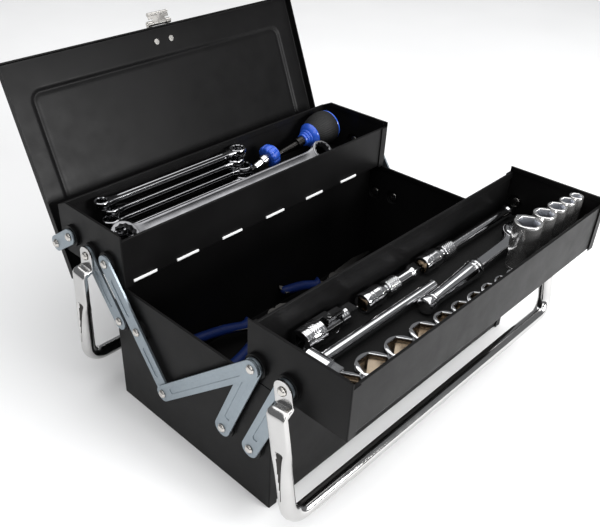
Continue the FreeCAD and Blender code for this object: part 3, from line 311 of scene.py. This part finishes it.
def lofted(rings, closed_ends=True):
    verts, faces = [], []
    n = len(rings[0])
    for r in rings:
        verts.extend([p * MM for p in r])
    for k in range(len(rings) - 1):
        for i in range(n):
            j = (i + 1) % n
            faces.append((k * n + i, k * n + j, (k + 1) * n + j, (k + 1) * n + i))
    if closed_ends:
        faces.append(tuple(range(n)))
        faces.append(tuple(range((len(rings) - 1) * n, len(rings) * n)))
    return verts, faces


def join(parts):
    V, F, I = [], [], []
    for p in parts:
        base = len(V)
        V.extend(p[0])
        F.extend([tuple(i + base for i in f) for f in p[1]])
        I.extend(p[2] if len(p) > 2 else [0] * len(p[1]))
    return V, F, I


def knurl(n, depth, pitch):
    """Diamond knurl as a radius over angle and place."""
    def f(th, t, r):
        a = math.sin(n * th + 2 * math.pi * t / pitch)
        b = math.sin(n * th - 2 * math.pi * t / pitch)
        return r + depth * max(a, b)
    return f


# ------------------------------------------------------------------ pressed case parts, softened
for n in ("lower_box_wrap", "lower_box_left_end", "lower_box_right_end", "rear_tray_wrap", "rear_tray_left_end", "rear_tray_right_end",
          "front_tray_wrap", "front_tray_left_end", "front_tray_right_end"):
    softened(n, 0.45, 3)
for n in ("main_arms", "rear_tray_links", "front_tray_inner_links", "front_tray_outer_links", "coupler_links", "lid_arms"):
    softened(n, 0.3, 2)
for n in ("lower_box_rivets", "rear_tray_rivets", "front_tray_rivets", "coupler_rivets", "main_arm_rivets", "lid_rivets"):
    softened(n, 1.0, 4)
for n in ("latch_base", "latch_hasp"):
    softened(n, 0.4, 3)
softened("latch_pin", 0.3, 2)
for n in ("rear_tray_glide_pads", "front_tray_mat"):
    softened(n, 0.5, 2)
for n in ("universal_socket_yoke", "universal_cross", "universal_drive_yoke", "t_handle_head", "ratchet_drive", "ratchet_lever",
          "spinner_shaft", "t_handle_bar"):
    softened(n, 0.5, 3)
softened("ball_driver_blade", 0.5, 3, mat=M["black_oxide_and_painted_shade"])

# ------------------------------------------------------------------ lid: one sheet with a pressed rectangular bead
LID_W, LID_L, LID_TOP, LID_REAR = 356.0, 196.8, 178.6, 173.9


def lid_point(x, y, z):
    a = math.radians(-112.4)
    dy, dz = y - LID_REAR, z - LID_TOP
    return Vector((x, 165.2 + dy * math.cos(a) - dz * math.sin(a), 95.9 + dy * math.sin(a) + dz * math.cos(a)))


def bead_lift(x, y):
    """Height of the pressed panel over the flat margin: a rounded rectangle with a soft step."""
    hx, hy, rc = LID_W / 2 - 23.0, (LID_L - 58.0) / 2, 10.0
    cx, cy = 0.0, LID_REAR - LID_L / 2
    qx, qy = abs(x - cx) - (hx - rc), abs(y - cy) - (hy - rc)
    d = math.hypot(max(qx, 0), max(qy, 0)) + min(max(qx, qy), 0) - rc
    s = min(max((1.5 - d) / 3.0, 0.0), 1.0)
    return 1.1 * (s * s * (3 - 2 * s)) + 0.75 * math.exp(-((d + 1.6) / 2.1) ** 2)


def even(lo, hi, n):
    return [lo + (hi - lo) * i / n for i in range(n + 1)]


def lid_mesh():
    r = 2.6
    xs = even(-LID_W / 2 + r, LID_W / 2 - r, 264)
    front = LID_REAR - LID_L
    ys = even(front + r, LID_REAR - r, 148)
    skin = 1.2
    bend = [math.radians(a) for a in (15, 30, 45, 60, 75, 90)]
    skirt = {"front": 6.0, "rear": 9.0, "side": 9.0}

    def sheet(off):
        """Rows of one face of the sheet: the top panel, then the rolled edges and skirts."""
        rr = r - off
        rows = []
        cols = [("s", -1, k) for k in range(len(bend), -1, -1)] + [("m", x, 0) for x in xs] + [("s", 1, k) for k in range(len(bend) + 1)]
        rws = [("f", k) for k in range(len(bend), -1, -1)] + [("m", y) for y in ys] + [("r", k) for k in range(len(bend) + 1)]

        def edge(k, depth):
            if k < len(bend):
                return rr * math.sin(bend[k]), rr * (1 - math.cos(bend[k]))
            return rr, depth - off

        for rw in rws:
            row = []
            for c in cols:
                if c[0] == "m":
                    x, dx_drop = c[1], 0.0
                else:
                    out, drop = edge(c[2], skirt["side"])
                    x, dx_drop = c[1] * (LID_W / 2 - r + out), drop
                if rw[0] == "m":
                    y, dy_drop = rw[1], 0.0
                elif rw[0] == "f":
                    out, drop = edge(rw[1], skirt["front"])
                    y, dy_drop = front + r - out, drop
                else:
                    out, drop = edge(rw[1], skirt["rear"])
                    y, dy_drop = LID_REAR - r + out, drop
                row.append(lid_point(x, y, LID_TOP - off - max(dx_drop, dy_drop) + (bead_lift(x, y) if not (dx_drop or dy_drop) else 0)))
            rows.append(row)
        return rows

    outer, inner = sheet(0.0), sheet(skin)
    verts, faces = [], []
    nr, nc = len(outer), len(outer[0])
    for rows in (outer, inner):
        for row in rows:
            verts.extend([p * MM for p in row])
    off = nr * nc
    for a in range(nr - 1):
        for b in range(nc - 1):
            q = (a * nc + b, a * nc + b + 1, (a + 1) * nc + b + 1, (a + 1) * nc + b)
            faces.append(q)
            faces.append(tuple(off + i for i in reversed(q)))
    rim = [(0, b) for b in range(nc)] + [(a, nc - 1) for a in range(1, nr)] + [(nr - 1, b) for b in range(nc - 2, -1, -1)] + [(a, 0) for a in range(nr - 2, 0, -1)]
    for k in range(len(rim)):
        a, b = rim[k], rim[(k + 1) % len(rim)]
        i, j = a[0] * nc + a[1], b[0] * nc + b[1]
        faces.append((i, j, off + j, off + i))
    return verts, faces


v, f = lid_mesh()
lid = finish_mesh("lid_pressed_panel", v, f, [M["black_paint"]], "lid", angle=40, weighted=True)
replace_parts(lid, "lid_panel")

# ------------------------------------------------------------------ carrying handles: tube, flattened leg with painted shade in its fold, jogged eye
L2 = 181.6


def handle_mesh(y, z, out):
    xo = L2 + 9.2
    low, rb, n, R = z - 113.0, 16.0, 96, 6.5
    path = []     # point, half width in Y, half thickness, squareness
    for k in range(13):
        zz = z + 8.5 * math.cos(math.pi / 2 * k / 12.0)
        path.append((Vector((L2 + 1, y, zz)), max(0.5, 8.5 * math.sin(math.pi / 2 * k / 12.0)), 1.0, 7.0))
    for zz, xx, w, t, q in ((-4, L2 + 1, 8.5, 1.0, 7), (-9, L2 + 1, 8.5, 1.0, 7), (-11.6, L2 + 1.1, 8.5, 1.05, 7), (-12.8, L2 + 2.0, 8.6, 1.5, 6), (-14.0, L2 + 5.2, 8.7, 2.0, 6),
                            (-15.2, L2 + 8.2, 8.8, 2.6, 5), (-16.6, xo, 8.8, 2.9, 5), (-20, xo, 8.8, 3.0, 5), (-28, xo, 8.8, 3.0, 5), (-38, xo, 8.8, 3.0, 5), (-44, xo, 8.7, 3.1, 4.6),
                            (-47, xo, 8.5, 3.6, 4.0), (-50, xo, 8.2, 4.6, 3.2), (-53, xo, 7.8, 5.4, 2.7), (-57, xo, 7.3, 5.9, 2.3), (-62, xo, 6.9, 6.2, 2.1), (-67, xo, 6.6, 6.4, 2.0), (-73, xo, R, R, 2.0),
                            (-79, xo, R, R, 2.0), (-85, xo, R, R, 2.0), (-91, xo, R, R, 2.0)):
        here = Vector((xx, y, z + zz))
        if zz < -44:        # closer steps along the fold
            p0, w0, t0, q0 = path[-1]
            steps = max(1, int(round((p0.z - here.z) / 1.0)))
            for m in range(1, steps):
                e = m / steps
                path.append((p0.lerp(here, e), w0 + (w - w0) * e, t0 + (t - t0) * e, q0 + (q - q0) * e))
        path.append((here, w, t, q))
    for k in range(15):
        a = math.pi / 2 * k / 14
        path.append((Vector((xo - rb + rb * math.cos(a), y, low + rb - rb * math.sin(a))), R, R, 2.0))
    half = path
    mirror = [(Vector((-p.x, p.y, p.z)), w, t, q) for p, w, t, q in reversed(half)]
    whole = half + mirror
    swing = Matrix.Rotation(math.radians(out), 3, "X")
    piv = Vector((0, y, z))
    rings, fold_shade_mask = [], []
    for i, (p, w, t, q) in enumerate(whole):
        a = whole[max(i - 1, 0)][0]
        b = whole[min(i + 1, len(whole) - 1)][0]
        d = (b - a).normalized()
        side = Vector((0, 1, 0))
        nrm = d.cross(side).normalized()
        drop = z - p.z
        fold = max(0.0, min(1.0, (drop - 46.5) / 2.5)) * max(0.0, min(1.0, (94.0 - drop) / 40.0)) if abs(p.x) > xo - 0.5 else 0.0
        wide = 0.5 + 3.0 * max(0.0, min(1.0, (90.0 - drop) / 42.0)) ** 1.4
        ring, fold_shade_row = [], []
        for k in range(n):
            th = 2 * math.pi * k / n
            c, s = math.cos(th), math.sin(th)
            e = 2.0 / q
            cut = 0.0
            yy = w * math.copysign(abs(c) ** e, c)
            tt = t * math.copysign(abs(s) ** e, s)
            if s > 0 and fold:
                cut = 4.4 * fold * math.exp(-(yy / wide) ** 2)
            ring.append(piv + swing @ (p + side * yy + nrm * (tt - cut) - piv))
            # faces deep in the fold get the second, near-black material: painted shade in the crease of the flattened
            # leg
            fold_shade_row.append(1.0 if fold > 0.08 and cut > 0.42 * 4.4 * fold else 0.0)
        rings.append(ring)
        fold_shade_mask.append(fold_shade_row)
    ids = []
    for k in range(len(rings) - 1):
        for i in range(n):
            j = (i + 1) % n
            ids.append(1 if fold_shade_mask[k][i] + fold_shade_mask[k][j] + fold_shade_mask[k + 1][i] + fold_shade_mask[k + 1][j] > 2.5 else 0)
    verts, faces = lofted(rings)
    return verts, faces, ids + [0, 0]


PIV = {j["name"]: [1000 * c for c in j["pos_m"]] for j in frame["joints"] if "pos_m" in j}
for name, joint, out in (("front_handle", "front_handle_swing", -9.6), ("rear_handle", "rear_handle_swing", 3.0)):
    v, f, ids = handle_mesh(PIV[joint][1], PIV[joint][2], out)
    h = finish_mesh(name + "_tube", v, f, [M["handle_steel"], M["black_oxide_and_painted_shade"]], name, ids, angle=48)
    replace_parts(h, name)

# ------------------------------------------------------------------ sockets
DECK = 130.0


def socket(x, y, od, af, h, groove=0.28):
    lo = max(od / 2 - 1.0, 7.4)
    R = od / 2
    pr = [(0.5 * h, 0, "c", 1), (0.5 * h, af / 2, "h", 1), (0.75 * h, af / 2, "h", 1), (h - 0.7, af / 2, "h", 0), (h - 0.08, af / 2 + 0.34, "h"), (h, af / 2 + 0.45, "h"), (h, R - 0.65), (h - 0.2, R - 0.25), (h - 0.7, R),
          (0.62 * h, R), (0.615 * h, R - groove), (0.585 * h, R - groove), (0.58 * h, R), (0.46 * h, R), (0.44 * h, (3 * R + lo) / 4), (0.40 * h, (R + lo) / 2), (0.36 * h, (R + 3 * lo) / 4), (0.34 * h, lo),
          (0.10 * h, lo), (0.095 * h, lo - 0.2), (0.075 * h, lo - 0.2), (0.07 * h, lo), (0.8, lo), (0.25, lo - 0.2), (0, lo - 0.55), (0, 6.9), (0.2, 4.75, "s", 1), (0.34 * h, 4.75, "s", 1), (0.34 * h, 0)]
    return turned((x, y, DECK), pr, "z", 72)


ods = (28.5, 28.5, 26.0, 24.0, 20.0, 18.5, 17.0, 16.0, 14.5, 13.0)
afs = (22.0, 21.0, 19.0, 17.0, 14.0, 13.0, 12.0, 11.0, 10.0, 8.0)
parts, x = [], -157.0
for i in range(10):
    if i:
        x += (ods[i] + ods[i - 1]) / 2 + 1.9
    parts.append(socket(round(x, 2), -159.6 + ods[i] / 2, ods[i], afs[i], 23.0))
v, f, ids = join(parts)
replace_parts(finish_mesh("shallow_socket_row", v, f, [M["chrome"], M["bore"]], "front_tray", ids, angle=30), "shallow_sockets")
parts = [socket(x, -147.0 + od / 2, od, af, 45.5, 0.02)
         for x, od, af in ((90.5, 24.0, 17.0), (115.0, 20.0, 14.0), (134.5, 17.0, 12.0), (151.0, 14.5, 10.0), (165.6, 12.6, 8.0))]
v, f, ids = join(parts)
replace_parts(finish_mesh("deep_socket_row", v, f, [M["deep_socket"], M["deep_bore"]], "front_tray", ids, angle=30), "deep_sockets")


# ------------------------------------------------------------------ extension bars with ringed sockets and knurled bands
def extension(x0, length):
    kn = knurl(20, 0.22, 2.4)
    pr = [(11.0, 0, "c", 1), (11.0, 4.75, "s", 1), (0.6, 4.75, "s", 0), (0.15, 6.7), (0, 7.0), (0, 7.8), (0.3, 8.25), (0.8, 8.45), (5.6, 8.45), (5.9, 7.7), (7.4, 7.7), (7.7, 8.5), (9.4, 8.5), (9.7, 7.7),
          (11.0, 7.7), (11.3, 8.5), (17.2, 8.5), (17.5, 8.0), (18.5, 8.0), (18.8, 8.5), (20.9, 8.5), (21.7, 8.1), (22.1, 7.4), (22.1, 5.4), (22.5, 5.2), (28.6, 5.2), (28.9, 6.4), (29.4, 6.95)]
    pr += [(29.7 + 0.4 * k, 7.05, kn) for k in range(35)]
    pr += [(43.7, 6.95), (44.0, 6.4), (44.2, 5.2), (length - 15.0, 5.2), (length - 13.0, 5.4), (length - 11.5, 6.2), (length - 10.6, 6.3), (length - 10.4, 4.7, "s"), (length - 1.0, 4.7, "s"),
           (length - 0.2, 4.2, "s"), (length, 3.8, "s"), (length, 0)]
    return turned((x0, -83.0, DECK + 8.6), pr, "x", 80)


for node, x0, ln in (("extension_short", -62.0, 75.0), ("extension_long", 18.0, 150.0)):
    v, f, ids = extension(x0, ln)
    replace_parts(finish_mesh(node + "_turned", v, f, [M["chrome"], M["bore"]], "front_tray", ids, angle=38), node)

# ------------------------------------------------------------------ turned bands on the universal joint
def band(x0, x1, r, kind=None):
    pr = [(x0, r - 0.5), (x0, r - 0.12), (x0 + 0.12, r)]
    if kind:
        n = max(2, int((x1 - x0 - 0.4) / 0.4))
        pr += [(x0 + 0.2 + (x1 - x0 - 0.4) * k / n, r, kind) for k in range(n + 1)]
    pr += [(x1 - 0.12, r), (x1, r - 0.12), (x1, r - 0.5), (x0, r - 0.5)]
    v, f, i = turned((0, -84.0, DECK + 10.6), pr, "x", 96)
    return v, f


v, f, ids = join([band(-134.2, -132.8, 10.3), band(-131.2, -129.8, 10.3), band(-128.4, -121.4, 10.2, knurl(22, 0.2, 2.2)), band(-120.0, -118.6, 10.3), band(-117.2, -115.8, 10.3)])
finish_mesh("universal_socket_bands", v, f, [M["chrome"]], BODY_OF["universal_socket_yoke"], None, 34)
v, f, ids = join([band(-92.6, -91.4, 7.3), band(-90.2, -89.0, 7.3), band(-87.6, -86.2, 7.3)])
finish_mesh("universal_drive_bands", v, f, [M["chrome"]], BODY_OF["universal_drive_yoke"], None, 34)

# ------------------------------------------------------------------ ratchet: turned grip, flat shank, round head
RY, RZ = -119.5, DECK + 8.8
pr = [(-30, 0), (-30, 5.4), (-29.7, 6.4), (-29.0, 7.1), (-27.8, 7.5), (-24, 7.6), (-22.4, 7.5), (-21.5, 6.9), (-21, 5.4), (-19.5, 5.2), (-19.2, 6.0), (-18.4, 6.4), (-17.4, 6.4), (-16.6, 5.9), (-16.2, 5.5),
      (-15, 5.7), (-6, 6.1), (4, 6.5), (15, 6.95), (24, 7.4), (32, 7.8), (38, 8.1), (40, 8.1), (40.6, 7.6), (41.8, 7.6), (42.4, 8.2), (44.6, 8.3), (45.2, 7.7), (46.4, 7.7), (47.0, 8.3), (49.8, 8.2), (51.2, 7.4), (51.9, 6.0), (52, 0)]
grip_v, grip_f, grip_i = turned((0, RY, RZ), pr, "x", 64)
rings = []
for xx, wy, wz in ((51.0, 4.9, 3.4), (52.5, 5.0, 3.5), (70, 5.0, 3.5), (90, 5.0, 3.5), (104, 5.1, 3.5), (109, 5.6, 3.7), (112, 6.8, 4.1), (114.5, 8.6, 4.6), (117.5, 9.6, 5.0)):
    ring = []
    for k in range(40):
        th = 2 * math.pi * k / 40
        c, sn = math.cos(th), math.sin(th)
        ring.append(Vector((xx, RY + wy * math.copysign(abs(c) ** 0.36, c), RZ + wz * math.copysign(abs(sn) ** 0.36, sn))))
    rings.append(ring)
shank = lofted(rings)
pr = [(-6.6, 8.1), (-7, 8.6), (-7, 12.4), (-6.6, 13.6), (-5.6, 14.7), (-4.2, 15.3), (0, 15.5), (4.2, 15.3), (5.6, 14.7), (6.6, 13.6), (7, 12.4), (7, 8.6), (6.6, 8.1), (-6.6, 8.1)]
head = turned((128.0, RY, RZ), pr, "z", 72)
v, f, ids = join([(grip_v, grip_f), shank, (head[0], head[1])])
lie = Matrix.Rotation(math.radians(2.2), 3, "Z")
butt = Vector((-30.0, RY, 0)) * MM
v = [butt + lie @ (p - butt) for p in v]
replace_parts(finish_mesh("ratchet_forged", v, f, [M["chrome"]], "front_tray", None, 36), "ratchet_body")

# ------------------------------------------------------------------ double ring spanners with twelve-point rings
def spanner(x0, x1, af0, af1, high, wide, thick):
    """Flat along X about the origin: two rings and a shank with a long shallow recess on each face."""
    parts = []
    hz = high / 2
    for xx, af in ((x0, af0), (x1, af1)):
        ri, ro = af / 2, af * 0.74
        pr = [(-hz + 0.8, ri, "w"), (-hz, ri + 0.6, "w"), (-hz, ro - 1.2), (-hz + 0.5, ro - 0.4), (-hz + 1.4, ro), (hz - 1.4, ro), (hz - 0.5, ro - 0.4), (hz, ro - 1.2),
              (hz, ri + 0.6, "w"), (hz - 0.8, ri, "w"), (-hz + 0.8, ri, "w")]
        v, f, i = turned((xx, 0, 0), pr, "z", 144)
        parts.append((v, f))
    a, b = x0 + af0 * 0.74 - 2.2, x1 - af1 * 0.74 + 2.2
    rings = []
    for q in range(61):
        e = q / 60.0
        xx = a + (b - a) * e
        near = min(xx - a, b - xx)
        hw = wide / 2 + 2.2 * math.exp(-(near / 5.0) ** 2)
        ht = thick / 2 + 0.9 * math.exp(-(near / 6.0) ** 2)
        dip = 0.16 * thick * min(1.0, max(0.0, (near - 9.0) / 5.0))
        ring = []
        for k in range(56):
            th = 2 * math.pi * k / 56
            c, sn = math.cos(th), math.sin(th)
            yy = hw * math.copysign(abs(c) ** 0.42, c)
            zz = ht * math.copysign(abs(sn) ** 0.42, sn)
            zz -= math.copysign(dip, sn) / (1.0 + math.exp((abs(yy) - 0.52 * wide / 2) / 0.22)) if abs(sn) > 0.2 else 0.0
            ring.append(Vector((xx, yy, zz)))
        rings.append(ring)
    parts.append(lofted(rings))
    return join(parts)


for n, x0, x1, yy, zz, a0, a1 in (("ring_spanner_1", -137, 22, 139.0, 132.2, 15, 17), ("ring_spanner_2", -135, 24, 143.5, 140.0, 13, 15), ("ring_spanner_3", -138, 26, 148.0, 147.8, 12, 14),
                                  ("ring_spanner_4", -134, 20, 152.5, 155.6, 11, 13), ("ring_spanner_5", -140, 28, 157.0, 163.4, 10, 12)):
    v, f, ids = spanner(x0, x1, a0, a1, 7.4, 7.5, 3.6)
    at = Vector((0, yy, zz)) * MM
    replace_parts(finish_mesh(n + "_forged", [at + p for p in v], f, [M["spanner_chrome_painted_dark_reflection"]], BODY_OF[n], None, 32), n)
v, f, ids = spanner(-140.5, 123.5, 19, 17, 8.0, 12.0, 4.4)
back = Matrix.Rotation(math.radians(40.0), 3, "X")
at = Vector((0, 124.5, 143.6)) * MM
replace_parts(finish_mesh("long_spanner_forged", [at + back @ p for p in v], f, [M["satin_steel"]], BODY_OF["long_spanner"], None, 32), "long_spanner")

# ------------------------------------------------------------------ ball-grip driver and spinner
BY, BZ = 148.3, 146.0


def raised(verts, x, y, z, rise):
    """The piece turned about a point on its axis, so that its grip end lies higher."""
    at = Vector((x, y, z)) * MM
    m = Matrix.Rotation(math.radians(-rise), 3, "Y")
    return [at + m @ (p - at) for p in verts]


def flute(count, depth):
    def fn(th, t, r):
        return r - depth * max(0.0, math.cos(count * th)) ** 2
    return fn


fl = flute(44, 0.32)
pr = [(118, 0, "c", 0), (118, 6.0, "c", 0), (118.3, 6.7, "c", 0), (119.6, 7.1, "c", 0), (119.9, 6.7, "c", 0), (120.4, 6.7, "c", 0), (120.8, 7.7, "c", 0), (122.2, 8.3, "c", 0), (122.5, 7.8, "c", 0), (123.0, 7.9, "c", 0),
      (123.4, 9.0, "c", 0), (124.8, 9.8, "c", 0), (125.1, 9.3, "c", 0), (125.6, 9.4, "c", 0), (126.2, 10.8, "c", 0), (128.0, 12.5, "c", 0), (129.6, 13.7, "c", 0), (130.4, 14.2, "c", 0), (131.4, 14.3, "c", 0), (131.9, 13.9, "c", 0), (132.0, 13.3, "c", 1),
      (132.6, 13.7, fl, 1), (135, 15.2, fl, 1), (138, 16.6, fl, 1), (142, 17.9, fl, 1), (146, 18.7, fl, 1), (150, 19.0, fl, 1), (154, 18.9, fl, 1), (157, 18.4, fl, 1), (159.4, 17.8, fl, 1), (160.2, 17.3, "c", 0),
      (160.6, 17.5, "c", 0), (161.8, 17.1, "c", 0), (162.6, 16.3, "c", 0), (162.9, 15.5, "c", 1), (164.2, 13.2, "c", 1), (165.5, 9.4, "c", 1), (166.2, 5.2, "c", 1), (166.5, 0, "c", 1)]
v, f, ids = turned((0, BY, BZ), pr, "x", 176)
v = raised(v, 82.0, BY, BZ, 8.0)
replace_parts(finish_mesh("ball_driver_handle", v, f, [M["blue_plastic"], M["driver_grip"]], "rear_tray", ids, 46), "ball_driver_grip")
lobes = lambda th, t, r: r - 1.0 * max(0.0, math.cos(10 * th)) ** 2
pr = [(62, 0), (62, 10.0), (62.4, 11.2, lobes), (63.2, 12.1, lobes), (65.5, 12.4, lobes), (69.0, 12.4, lobes), (71.0, 11.9, lobes), (71.8, 10.8), (72.0, 8.5), (74.4, 8.4), (74.9, 7.8), (75, 6.6), (75, 0)]
v, f, ids = turned((0, 147.0, 141.0), pr, "x", 120)
v = raised(v, 40.0, 147.0, 141.0, 18.0)
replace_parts(finish_mesh("spinner_knob", v, f, [M["blue_plastic"]], "rear_tray", None, 44), "spinner_grip")


# ------------------------------------------------------------------ pliers: forged heads and dipped grips with a thumb guard
def grip(px, yc, zc, reach, sign):
    """A dipped sleeve that follows one handle of the pliers, as it lies open and leaning."""
    k = reach / 107.0
    line = [(-27.2, 3.4, 2.4, 3.2), (-28.2, 6.6, 4.0, 6.0), (-29.6, 7.3, 4.5, 6.6), (-31.4, 7.0, 4.5, 6.2), (-33.4, 6.1, 4.2, 5.5), (-37, 5.9, 4.0, 5.1), (-46, 7.8, 4.1, 5.2), (-58, 10.2, 4.3, 5.3), (-70, 11.4, 4.4, 5.3), (-82, 12.2, 4.5, 5.2),
            (-92, 12.8, 4.4, 5.0), (-99, 13.9, 4.0, 4.4), (-102.6, 15.0, 3.0, 3.4), (-104.4, 15.6, 1.3, 1.6)]
    turn = Matrix.Rotation(math.radians(6.0 * sign), 3, "Y")
    lean = Matrix.Rotation(math.radians(-60.0), 3, "X")
    at = Vector((px, yc, zc))
    rings, n = [], 32
    for i, (a, b, wy, wz) in enumerate(line):
        a0, b0 = line[max(i - 1, 0)][:2] if i > 4 else (a + 1, b - 0.25)
        a1, b1 = line[min(i + 1, len(line) - 1)][:2] if i > 4 else (a - 1, b + 0.25)
        d = Vector(((a1 - a0) * k, 0, sign * (b1 - b0))).normalized()
        nrm = Vector((0, 1, 0)).cross(d)
        c = Vector((a * k, 2.45 * sign, sign * b))
        rings.append([at + lean @ (turn @ (c + Vector((0, 1, 0)) * (wy * math.cos(2 * math.pi * q / n)) + nrm * (wz * math.sin(2 * math.pi * q / n)))) for q in range(n)])
    return lofted(rings)


for tag, px, yc, zc, reach in (("pliers", -8.0, 63.5, 17.1, 107.0), ("long_nose_pliers", 92.0, 66.5, 15.2, 70.0)):
    for half, sign, body in (("lower_half", -1, BODY_OF[tag + "_lower_half"]), ("upper_half", 1, BODY_OF[tag + "_upper_half"])):
        # the steel halves are near-black: partly a black-oxide finish, partly painted shade for the dark inside of the
        # lower box
        softened("%s_%s" % (tag, half), 0.5, 2, mat=M["black_oxide_and_painted_shade"])
        v, f = grip(px, yc, zc, reach, sign)
        finish_mesh("%s_%s_sleeve" % (tag, half), v, f, [M["blue_grip_steel"]], body, angle=60)
    softened(tag + "_pin", 0.4, 2, mat=M["tool_steel"])

# ------------------------------------------------------------------ floor, light and camera
bpy.ops.mesh.primitive_plane_add(size=12.0, location=(0, 0, -0.0004))
floor = bpy.context.object
floor.name = "floor"
k = Mat("pale_floor")
k.colour(k.noise(3, 2), [(0.3, (0.89, 0.89, 0.89)), (0.7, (0.92, 0.92, 0.92))])
k.rough(k.noise(20, 2), 0.75, 0.9)
floor.data.materials.append(k.m)


def area(name, loc, aim, size, energy, size_y=None):
    l = bpy.data.lights.new(name, "AREA")
    l.energy = energy
    l.size = size
    if size_y:
        l.shape = "RECTANGLE"
        l.size_y = size_y
    o = bpy.data.objects.new(name, l)
    scene.collection.objects.link(o)
    o.location = loc
    o.rotation_euler = (Vector(aim) - Vector(loc)).to_track_quat("-Z", "Y").to_euler()
    return o


area("overhead", (0.1, 0.1, 2.4), (0, 0, 0), 3.6, 77)
area("key", (-1.5, -1.3, 1.6), (0, 0, 0.1), 1.2, 9.5)
area("lid_card", (0.30, -1.35, 0.62), (-0.12, 0.2, 0.2), 0.8, 29.0, 0.5)
world = bpy.data.worlds.new("studio")
scene.world = world
world.use_nodes = True
world.node_tree.nodes["Background"].inputs["Color"].default_value = (0.95, 0.97, 1.0, 1)
world.node_tree.nodes["Background"].inputs["Strength"].default_value = 0.22

cam = bpy.data.cameras.new("camera")
cam.sensor_width = 36.0
cam.sensor_fit = "HORIZONTAL"
cam.lens = 44.33
cam.shift_x = 0.0767
cam.shift_y = 0.0473
cam.clip_start = 0.02
cam.dof.use_dof = False
co = bpy.data.objects.new("camera", cam)
scene.collection.objects.link(co)
fwd = Vector((0.5747, 0.5837, -0.5734)).normalized()
right = Vector((0.7127, -0.7015, 0.0)).normalized()
up = right.cross(fwd).normalized()
rot = Matrix((right, up, -fwd)).transposed()
roll = Matrix.Rotation(math.radians(-0.566), 3, fwd)
co.matrix_world = Matrix.Translation((-0.45643, -0.36141, 0.48203)) @ (roll @ rot).to_4x4()
scene.camera = co
scene.view_settings.view_transform = "Standard"
scene.view_settings.look = "None"
